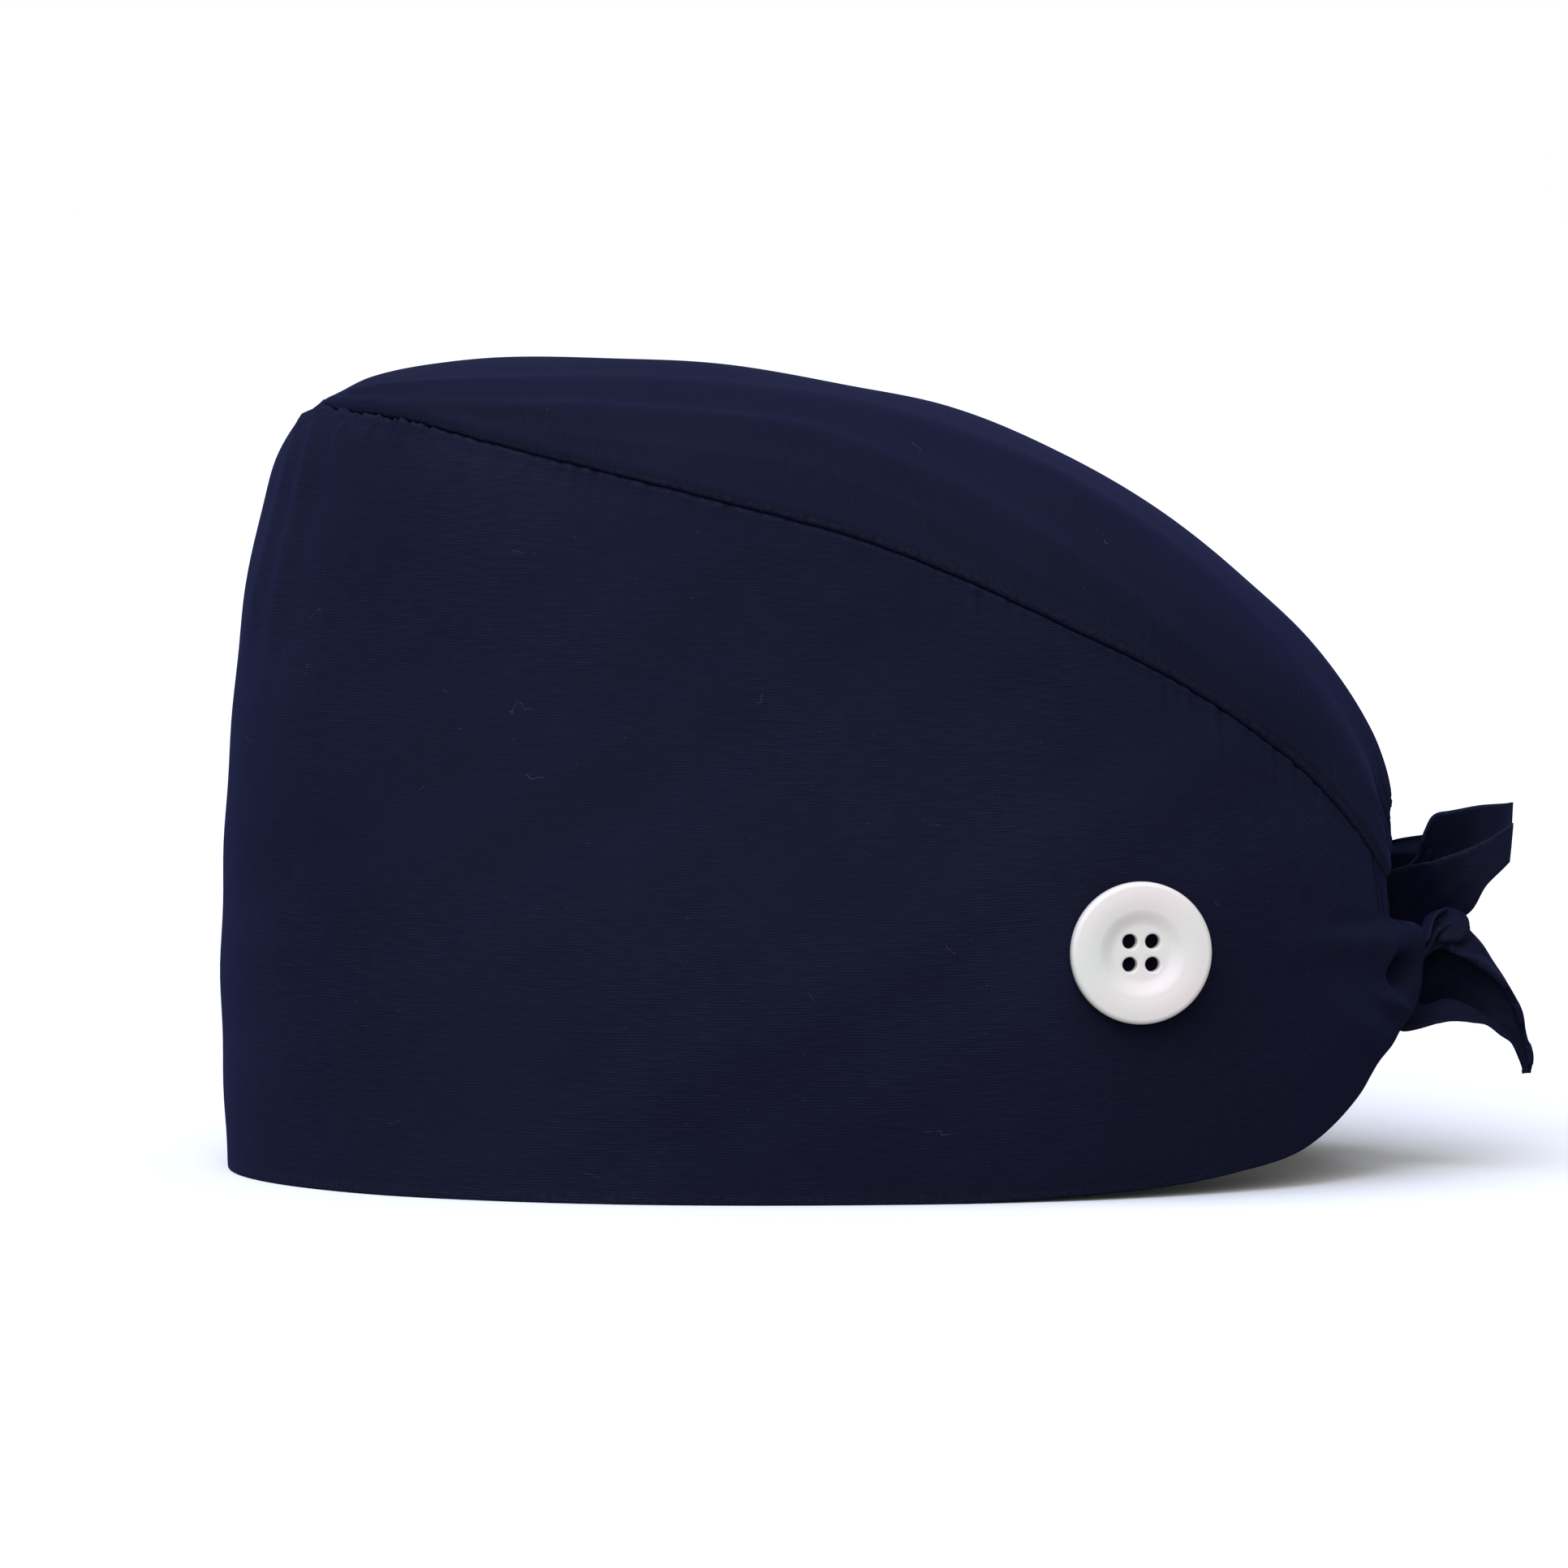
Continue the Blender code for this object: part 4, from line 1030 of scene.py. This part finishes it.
@dataclass(frozen=True)
class Tie:
    """One of the two ties, from an end of the band to the knot or to the tail that it runs on into."""

    name: str
    side: Side
    band_seat: tuple[float, float]
    climb: tuple[float, float]
    arrival: tuple[float, float, float]
    target: tuple[tuple[float, float, float], tuple[float, float, float]]
    flat: tuple[float, float]
    pleats: Profile
    bow: float = 0.36
    cloth: float = 0.0005
    rows: int = 81
    steps: int = 60
    slip: float = 0.0016
    rubbed_push: float = 0.0008
    pleat_start: float = 0.25
    millimetre: float = 0.001

    def start_edge(self) -> tuple[np.ndarray, np.ndarray]:
        """Gives the edge where the tie leaves the band, and the way that the band runs there."""
        places = FORM.length - np.array([2, 1, 0]) * FORM.slope_step
        outer = FORM.band(places, np.linspace(*self.band_seat, self.rows))
        run = unit(outer[-1] - outer[0])
        middle = outer[-1] - normals_of(outer)[-1] * self.cloth / 2
        return middle * [self.side.value, 1, 1], run * [self.side.value, 1, 1]

    def build(self, centre: np.ndarray) -> bpy.types.Object:
        """Makes the tie.

        Args:
            centre: The knot's centre, in the form's own place.

        Returns:
            The tie.
        """
        edge, run = self.start_edge()
        arrival = unit(np.array(self.arrival, float))
        across = np.linspace(0, 1, self.rows)[:, None]
        low, high = np.array(self.target, float) * self.millimetre
        start = edge - run * self.slip
        end = centre + low + (high - low) * across + arrival * self.slip
        bow = np.linalg.norm(end - start, axis=1, keepdims=True) * self.bow
        share = np.linspace(0, 1, self.steps + 1)[:, None, None]
        leaving = run + np.linspace(*self.climb, self.rows)[:, None] * UP
        grid = ((1 - share)**3 * start + 3 * share * (1 - share)**2 * (start + leaving * bow)
                + 3 * share**2 * (1 - share) * (end - arrival * bow) + share**3 * end)
        push = np.interp(across[:, 0], *np.transpose(self.pleats)) * self.millimetre
        pleated = self.side.value * push * ease(share[..., 0] / self.pleat_start)
        grid = grid + normals_of(grid) * pleated[..., None]
        threads = np.stack([travelled(grid, 0), travelled(grid, 1)], axis=2)
        edges = np.clip(push / self.rubbed_push, 0, 1) * np.ones(grid.shape[:2])
        edges[:, :2] = edges[:, -2:] = 1.0
        tie = ClothSheet(f"{self.name}_cloth", grid, threads, edges, self.cloth, 0.0).make()
        seat(tie, TIE_POPLIN, self.name)
        return tie


@dataclass(frozen=True)
class Tail:
    """A free end of a tie, folded lengthwise, from its root to its tip.

    Each section holds points across the strip, from one edge to the other, in millimetres from the knot's
    centre.
    """

    name: str
    sections: Table
    flat: tuple[float, float]
    cloth: float = 0.0007
    crispness: float = 0.75
    crease_height: float = 0.00035
    crease_reach: float = 0.012
    wave_height: float = 0.00015
    columns: int = 80
    steps: int = 14
    millimetre: float = 0.001

    def build(self, centre: np.ndarray) -> bpy.types.Object:
        """Makes the tail.

        Args:
            centre: The knot's centre, in the form's own place.

        Returns:
            The tail.
        """
        table = np.array(self.sections, float) * self.millimetre
        count = len(table)
        places = np.linspace(0, count - 1, self.steps * (count - 1) + 1)
        lines = follow(np.arange(count), table, places).reshape(len(places), -1, 3)
        points = lines.shape[1]
        across = np.linspace(0, points - 1, self.columns + 1)
        low = np.minimum(across.astype(int), points - 2)
        straight = lines[:, low] + (lines[:, low + 1] - lines[:, low]) * (across - low)[:, None]
        curved = np.stack([follow(np.arange(points), line, across) for line in lines])
        grid = centre + curved + (straight - curved) * self.crispness
        along = travelled(grid, 0)
        creases = Ripple(0.006, seed=71 + count).at(travelled(grid, 1) + 0.5 * along)
        near_knot = np.exp(-(np.linalg.norm(grid - centre, axis=2) / self.crease_reach) ** 2)
        push = self.crease_height * creases * near_knot
        push += self.wave_height * Ripple(0.009, seed=72).at(along)
        grid = grid + normals_of(grid) * push[..., None]
        threads = np.stack([along, travelled(grid, 1)], axis=2)
        edges = np.zeros(grid.shape[:2])
        edges[:, :2] = edges[:, -2:] = 1.0
        edges[-2:] = 1.0
        tail = ClothSheet(f"{self.name}_cloth", grid, threads, edges, self.cloth, 1.0).make()
        seat(tail, TIE_POPLIN, self.name)
        return tail


@dataclass(frozen=True)
class Knot:
    """The knot: a rounded lump of cloth with the edges of its two turns showing on each side."""

    width: float = 0.014
    depth: float = 0.0098
    height: float = 0.0080
    back: float = 0.0054
    level: float = 0.049
    shift: tuple[float, float, float] = (0.0, 0.0013, -0.0011)
    boxiness: float = 2.6
    rubbed_push: float = 0.0005
    crease_height: float = 0.00025
    wrap_front: float = 0.0035
    wrap_fade: float = 0.004
    wraps: Table = (
        # y of the centre, z of the centre, radius, half width, height
        (0.0027, -0.0039, 0.0082, 0.00050, 0.00030),
        (0.0027, -0.0039, 0.0096, 0.00090, -0.00040),
        (0.0035, -0.0071, 0.0079, 0.00060, 0.00025),
        (0.0035, -0.0071, 0.0092, 0.00080, -0.00045),
    )

    @property
    def centre(self) -> np.ndarray:
        """The knot's centre, in the form's own place."""
        return np.array([0.0, FORM.depth + self.back, self.level])

    def build(self) -> bpy.types.Object:
        """Makes the knot."""
        work = bmesh.new()
        bmesh.ops.create_uvsphere(work, u_segments=216, v_segments=144, radius=1.0)
        mesh = bpy.data.meshes.new("tie_knot_cloth")
        work.to_mesh(mesh)
        work.free()
        ball = np.empty(len(mesh.vertices) * 3, np.float32)
        mesh.vertices.foreach_get("co", ball)
        ball = ball.reshape(-1, 3).astype(float)
        boxy = (np.abs(ball) ** self.boxiness).sum(axis=1, keepdims=True) ** (-1 / self.boxiness)
        points = ball * boxy * np.array([self.width, self.depth, self.height]) / 2
        push = np.zeros(len(points))
        for back, up, radius, width, height in self.wraps:
            away = np.hypot(points[:, 1] - back, points[:, 2] - up)
            shown = ease((self.wrap_front - points[:, 1]) / self.wrap_fade)
            push += height * np.exp(-((away - radius) / width) ** 2) * shown
        push = push + self.crease_height * Ripple(0.005, seed=81).at(points[:, 0] + points[:, 2])
        points = points + ball * push[:, None]
        placed = FORM.place(points + self.centre + self.shift)
        mesh.vertices.foreach_set("co", placed.astype(np.float32).ravel())
        around = np.arctan2(points[:, 0], points[:, 1]) * self.depth / 2
        keep_threads(mesh, np.stack([around, away], axis=1), np.clip(push / self.rubbed_push, 0, 1))
        mesh.shade_smooth()
        knot = show("tie_knot_cloth", mesh)
        seat(knot, TIE_POPLIN, "tie_knot")
        return knot


@dataclass(frozen=True)
class EarLoopButton:
    """A round button with four holes on its thread stem."""

    side: Side
    radius: float = 0.01395
    thickness: float = 0.0042
    dish_radius: float = 0.0090
    flat_radius: float = 0.0052
    flat_thickness: float = 0.0029
    edge_round: float = 0.0011
    flat_share: float = 0.93
    brim_share: float = 0.97
    back_share: float = 0.45
    back_round: float = 0.0012
    hole_radius: float = 0.00148
    hole_pitch: float = 0.0045
    hole_flare: float = 0.00035
    drill_past: float = 0.002
    yaw: float = math.radians(9)
    segments: int = 160
    stem_radius: float = 0.0015
    thread: float = 0.00042
    thread_rise: float = 0.0002
    stem_extra: float = 0.0008

    @property
    def word(self) -> str:
        """The side's name."""
        return self.side.name.lower()

    def axis(self) -> Vector:
        """Gives the way that the button faces."""
        return Vector((self.side.value * math.cos(self.yaw), math.sin(self.yaw), 0.0))

    def frame(self) -> Matrix:
        """Gives the matrix that puts the button's back, faced along its own +Z, in its solid's place."""
        low, high = (Vector(corner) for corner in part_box(f"button_{self.word}"))
        seat_point = (low + high) / 2 - self.axis() * self.thickness / 2
        up = Vector((0.0, 0.0, 1.0))
        across = up.cross(self.axis())
        turn = Matrix((across, up, self.axis())).transposed().to_4x4()
        return Matrix.Translation(seat_point) @ turn

    def outline(self) -> list[tuple[float, float]]:
        """Gives the half outline from the middle of the face round to the middle of the back."""
        points = [(0.0, self.flat_thickness), (self.flat_radius * self.flat_share, self.flat_thickness)]
        brim = self.thickness * self.brim_share
        for share in np.linspace(0, 1, 15)[1:]:
            level = self.flat_thickness + (brim - self.flat_thickness) * float(ease(share))
            points.append((self.flat_radius + (self.dish_radius - self.flat_radius) * float(share), level))
        shoulder = self.radius - self.edge_round
        for share in np.linspace(0, 1, 9)[1:]:
            points.append((self.dish_radius + (shoulder - self.dish_radius) * float(share),
                           brim + (self.thickness - brim) * math.sin(math.pi * float(share)) ** 0.8))
        for angle in np.linspace(0, math.pi / 2, 13)[1:]:
            points.append((shoulder + self.edge_round * math.sin(angle),
                           brim - self.edge_round * (1 - math.cos(angle))))
        edge = self.thickness * self.back_share
        for angle in np.linspace(0, math.pi / 2, 9):
            inset = self.back_round * (1 - math.cos(angle))
            points.append((self.radius - inset, edge * (1 - math.sin(angle))))
        return points + [(0.0, 0.0)]

    def spun(self, name: str, outline: Sequence[tuple[float, float]], segments: int) -> bpy.types.Object:
        """Turns a half outline round its own Z axis."""
        work = bmesh.new()
        verts = [work.verts.new((radius, 0.0, height)) for radius, height in outline]
        edges = [work.edges.new(pair) for pair in zip(verts, verts[1:])]
        bmesh.ops.spin(work, geom=verts + edges, cent=(0, 0, 0), axis=(0, 0, 1), angle=2 * math.pi,
                       steps=segments, use_merge=True)
        bmesh.ops.remove_doubles(work, verts=work.verts, dist=1e-6)
        bmesh.ops.recalc_face_normals(work, faces=work.faces)
        mesh = bpy.data.meshes.new(name)
        work.to_mesh(mesh)
        work.free()
        return show(name, mesh)

    def drill(self, index: int) -> bpy.types.Object:
        """Makes the cutter of one hole, flared where it meets the face and the back."""
        hole, flare, top, past = self.hole_radius, self.hole_flare, self.flat_thickness, self.drill_past
        outline = [(0.0, top + past), (hole + flare + past, top + past)]
        outline += [(hole + flare * (1 - math.sin(angle)), top - flare * (1 - math.cos(angle)))
                    for angle in np.linspace(0, math.pi / 2, 5)]
        outline += [(hole, flare), (hole + flare, 0.0), (hole + flare, -past), (0.0, -past)]
        cutter = self.spun(f"drill_{self.word}_{index}", outline, 40)
        quarter = math.pi / 4 + index * math.pi / 2
        away = self.hole_pitch / math.sqrt(2)
        cutter.location = (away * math.cos(quarter), away * math.sin(quarter), 0.0)
        return cutter

    def build_face(self) -> bpy.types.Object:
        """Makes the button with its holes cut through."""
        button = self.spun(f"button_{self.word}_resin", self.outline(), self.segments)
        drills = [self.drill(index) for index in range(4)]
        for cutter in drills:
            cut = button.modifiers.new(cutter.name, "BOOLEAN")
            cut.object = cutter
            cut.solver = "EXACT"
        bpy.context.view_layer.update()
        depsgraph = bpy.context.evaluated_depsgraph_get()
        finished = bpy.data.meshes.new_from_object(button.evaluated_get(depsgraph))
        button.modifiers.clear()
        button.data = finished
        for cutter in drills:
            bpy.data.objects.remove(cutter)
        finished.shade_smooth()
        finished.set_sharp_from_angle(angle=math.radians(38))
        button.matrix_world = self.frame()
        seat(button, WHITE_RESIN, f"button_{self.word}")
        return button

    def build_stem(self) -> bpy.types.Object:
        """Makes the stem: thread wound in close turns."""
        low, high = (Vector(corner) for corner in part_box(f"button_stem_{self.word}"))
        length = abs((high - low).x) + self.stem_extra
        turns = max(3, round(length / self.thread))
        rings, sides = turns * 10, 40
        verts, faces = [], []
        for ring in range(rings + 1):
            for side in range(sides):
                angle = 2 * math.pi * side / sides
                phase = 2 * math.pi * ring * turns / rings + angle
                radius = self.stem_radius - self.thread * 0.5 + self.thread * 0.5 * abs(math.sin(phase / 2))
                height = self.thread_rise - length * ring / rings
                verts.append((radius * math.cos(angle), radius * math.sin(angle), height))
        for ring in range(rings):
            for side in range(sides):
                after = (side + 1) % sides
                faces.append((ring * sides + side, (ring + 1) * sides + side,
                              (ring + 1) * sides + after, ring * sides + after))
        faces.append(tuple(range(sides)))
        faces.append(tuple(reversed(range(rings * sides, (rings + 1) * sides))))
        mesh = bpy.data.meshes.new(f"button_stem_{self.word}_thread")
        mesh.from_pydata(verts, [], faces)
        mesh.shade_smooth()
        stem = show(mesh.name, mesh)
        stem.matrix_world = self.frame()
        seat(stem, NAVY_THREAD, f"button_stem_{self.word}")
        return stem


@dataclass(frozen=True)
class Studio:
    """A pale floor, soft light from above and from the cap's left, and the camera on its left side."""

    target: tuple[float, float, float] = (0.0, -0.019071, 0.0774)
    azimuth: float = math.radians(90)
    elevation: float = math.radians(3.5)
    distance: float = 2.2
    lens: float = 250.0
    floor_size: float = 40.0
    surround: float = 0.45
    floor_albedo: float = 0.88
    floor_bounce: float = 0.30

    def point(self, azimuth: float, elevation: float, distance: float) -> Vector:
        """Gives a point round the target, with azimuth 0 in front of the cap."""
        level = math.cos(elevation) * distance
        aside, ahead = math.sin(azimuth) * level, -math.cos(azimuth) * level
        return Vector(self.target) + Vector((aside, ahead, math.sin(elevation) * distance))

    def camera(self) -> None:
        """Sets the camera."""
        data = bpy.data.cameras.new("camera")
        data.lens = self.lens
        data.sensor_width = 36.0
        data.clip_end = 100.0
        camera = bpy.data.objects.new("camera", data)
        camera.location = self.point(self.azimuth, self.elevation, self.distance)
        camera.rotation_euler = (Vector(self.target) - camera.location).to_track_quat("-Z", "Y").to_euler()
        bpy.context.scene.collection.objects.link(camera)
        bpy.context.scene.camera = camera

    def lamp(self, name: str, azimuth: float, elevation: float, strength: float, colour: Colour,
             width: float) -> None:
        """Adds a wide, soft light that reaches the cap and the whole floor evenly.

        Args:
            name: The light's name.
            azimuth: Its direction round the cap in degrees, with 0 in front.
            elevation: Its height over the floor in degrees.
            strength: Its strength.
            colour: Its colour.
            width: How wide it looks from the cap, in degrees.
        """
        data = bpy.data.lights.new(name, "SUN")
        data.angle = math.radians(width)
        data.energy = strength
        data.color = colour
        lamp = bpy.data.objects.new(name, data)
        lamp.location = self.point(math.radians(azimuth), math.radians(elevation), 1.6)
        lamp.rotation_euler = (Vector(self.target) - lamp.location).to_track_quat("-Z", "Y").to_euler()
        bpy.context.scene.collection.objects.link(lamp)

    def surroundings(self) -> None:
        """Sets an even pale surround."""
        world = bpy.data.worlds.new("studio")
        bpy.context.scene.world = world
        graph = fresh_graph(world)
        seen = graph.add("LightPath").outputs["Is Camera Ray"]
        strength = graph.span(seen, 0.0, 1.0, self.surround, 1.0)
        shade = graph.add("Background", {"Color": (1.0, 1.0, 1.0, 1.0), "Strength": strength})
        graph.add("OutputWorld", {"Surface": shade.outputs[0]})

    def floor(self) -> None:
        """Lays the floor that the cap stands on."""
        mesh = bpy.data.meshes.new("floor")
        half = self.floor_size / 2
        corners = [(-half, -half, 0), (half, -half, 0), (half, half, 0), (-half, half, 0)]
        mesh.from_pydata(corners, [], [(0, 1, 2, 3)])
        floor = show("floor", mesh)
        mesh.materials.append(self.floor_finish())

    def floor_finish(self) -> bpy.types.Material:
        """Makes the floor's matt finish, which looks paler than the light that it throws back."""
        material = bpy.data.materials.new("Pale floor")
        graph = fresh_graph(material)
        bounce, look = (
            graph.add("BsdfPrincipled", {
                "Base Color": (albedo, albedo, albedo, 1.0),
                "Roughness": 0.9,
                "Specular IOR Level": 0.0,
            }).outputs[0]
            for albedo in (self.floor_bounce, self.floor_albedo)
        )
        seen = graph.add("LightPath").outputs["Is Camera Ray"]
        mixed = graph.add("MixShader", {0: seen, 1: bounce, 2: look})
        graph.add("OutputMaterial", {"Surface": mixed.outputs[0]})
        return material

    def build(self) -> None:
        """Sets up the whole studio."""
        bpy.context.scene.view_settings.view_transform = "Standard"
        self.camera()
        self.surroundings()
        self.floor()
        self.lamp("overhead light", 45, 65, 2.8, (0.70, 0.78, 1.0), 60.0)
        self.lamp("side light", 81, 24, 1.90, (0.97, 0.96, 1.0), 42.0)


UPPER_SECTIONS: Table = (
    # near edge, fold, trough and far edge, each as x, y and z
    (-14.0, -13.4, 8.4, -18.0, -11.4, -3.0, -16.0, -11.0, 4.0, -13.0, -10.4, 8.0),
    (-8.0, -6.3, 11.2, -15.0, -5.9, -4.0, -14.0, -5.4, 6.5, -9.0, -5.0, 12.0),
    (-1.5, -3.7, 12.1, -11.0, -2.6, -3.0, -13.0, -3.6, 9.0, -6.0, -3.4, 16.8),
    (3.5, -1.2, 12.9, -7.0, 0.6, -2.0, -12.5, -1.4, 11.0, -4.5, -1.2, 21.6),
    (6.0, 4.2, 15.0, 1.0, 5.9, 2.0, -10.0, 3.4, 13.0, -3.5, 2.6, 22.9),
    (4.5, 9.4, 17.2, 4.0, 9.7, 8.3, -5.0, 9.0, 16.0, -3.0, 9.0, 24.0),
    (0.8, 15.0, 20.6, 2.2, 14.2, 12.7, -1.2, 14.9, 20.0, -2.0, 15.1, 24.5),
)
LOWER_SECTIONS: Table = (
    # edge, crest, under the crest, trough, lip and flap, each as x, y and z
    (0.0, 3.6, 0.0, 4.0, 1.1, -1.5, 0.5, -0.5, -1.5,
     -3.0, -2.4, -6.0, 0.0, -3.4, -7.5, 2.0, -4.4, -9.0),
    (0.0, 6.0, -0.4, 6.5, 2.4, -5.0, 0.5, 2.2, -4.0,
     -6.5, -2.6, -16.6, 3.5, -4.4, -15.6, 5.5, -8.6, -20.4),
    (0.5, 10.2, -6.2, 8.0, 5.6, -6.4, 1.5, 5.8, -5.6,
     -7.0, 1.4, -16.0, 4.0, 1.2, -14.9, 6.5, -0.6, -19.4),
    (0.5, 13.7, -11.4, 7.0, 9.6, -8.8, 1.5, 9.8, -8.2,
     -4.0, 5.6, -16.8, 4.2, 5.2, -15.8, 6.0, 4.2, -18.9),
    (0.5, 16.0, -16.1, 5.5, 13.3, -12.4, 2.4, 13.2, -12.4,
     0.6, 10.4, -19.2, 3.8, 9.8, -18.6, 4.8, 9.6, -20.0),
    (0.3, 17.2, -20.2, 4.0, 15.8, -16.8, 2.2, 15.6, -17.0,
     1.2, 13.6, -21.4, 2.6, 13.3, -21.3, 3.4, 12.9, -21.9),
    (0.2, 17.4, -24.0, 2.2, 17.0, -21.4, 1.2, 16.8, -21.8,
     0.8, 15.7, -23.6, 1.2, 15.5, -23.8, 1.8, 15.3, -23.9),
    (0.2, 18.9, -27.1, 1.2, 18.5, -26.5, 0.5, 18.0, -26.9,
     0.3, 17.4, -27.2, 0.5, 17.0, -27.4, 0.8, 16.7, -27.5),
    (0.0, 18.3, -30.0, 0.3, 18.1, -30.1, 0.1, 18.0, -30.2,
     0.0, 17.9, -30.2, 0.05, 17.8, -30.2, 0.1, 17.7, -30.1),
)
LEFT_PLEATS: Profile = (
    # across, push in millimetres
    (0.00, -1.5), (0.36, -1.2), (0.48, 0.5), (0.55, 0.7),
    (0.60, -1.2), (0.86, -1.4), (0.94, 0.5), (1.00, 0.8),
)
RIGHT_PLEATS: Profile = (
    # across, push in millimetres
    (0.00, 0.2), (0.22, 0.8), (0.30, 0.6), (0.42, -1.4),
    (0.76, -1.8), (0.88, 0.2), (0.95, 0.6), (1.00, 0.5),
)


class BackTies:
    """The knot at the back with both ties and both tails."""

    def __init__(self) -> None:
        """Sets the sizes of the knot, the ties and the tails."""
        self.knot = Knot()
        self.upper = Tail("tail_upper", UPPER_SECTIONS, (0.034, 0.030))
        self.lower = Tail("tail_lower", LOWER_SECTIONS, (0.037, 0.026))
        self.left = Tie("tie_left", Side.LEFT, (0.40, 0.55), (0.0, 0.3), (-0.45, 0.85, 0.20),
                        ((6.4, 1.4, -3.6), (5.6, -0.2, 3.4)), (0.017, 0.014), LEFT_PLEATS)
        self.right = Tie("tie_right", Side.RIGHT, (0.84, 1.00), (-0.5, 1.1), (0.25, 1.0, 0.1),
                         ((-15.5, -2.5, 6.5), (-9.5, -2.0, 17.2)), (0.023, 0.0125), RIGHT_PLEATS)

    def build(self) -> None:
        """Makes the pieces from the knot outwards."""
        centre = self.knot.centre
        self.knot.build()
        for strip in (self.upper, self.lower, self.left, self.right):
            strip.build(centre)


def main() -> None:
    """Builds the studio and the cap, piece by piece."""
    logging.basicConfig(level=logging.INFO, format="%(name)s: %(message)s")
    Studio().build()
    SideBand().build()
    CrownPanel().build()
    BackTies().build()
    for side in Side:
        button = EarLoopButton(side)
        button.build_face()
        button.build_stem()


if __name__ == "__main__":
    main()
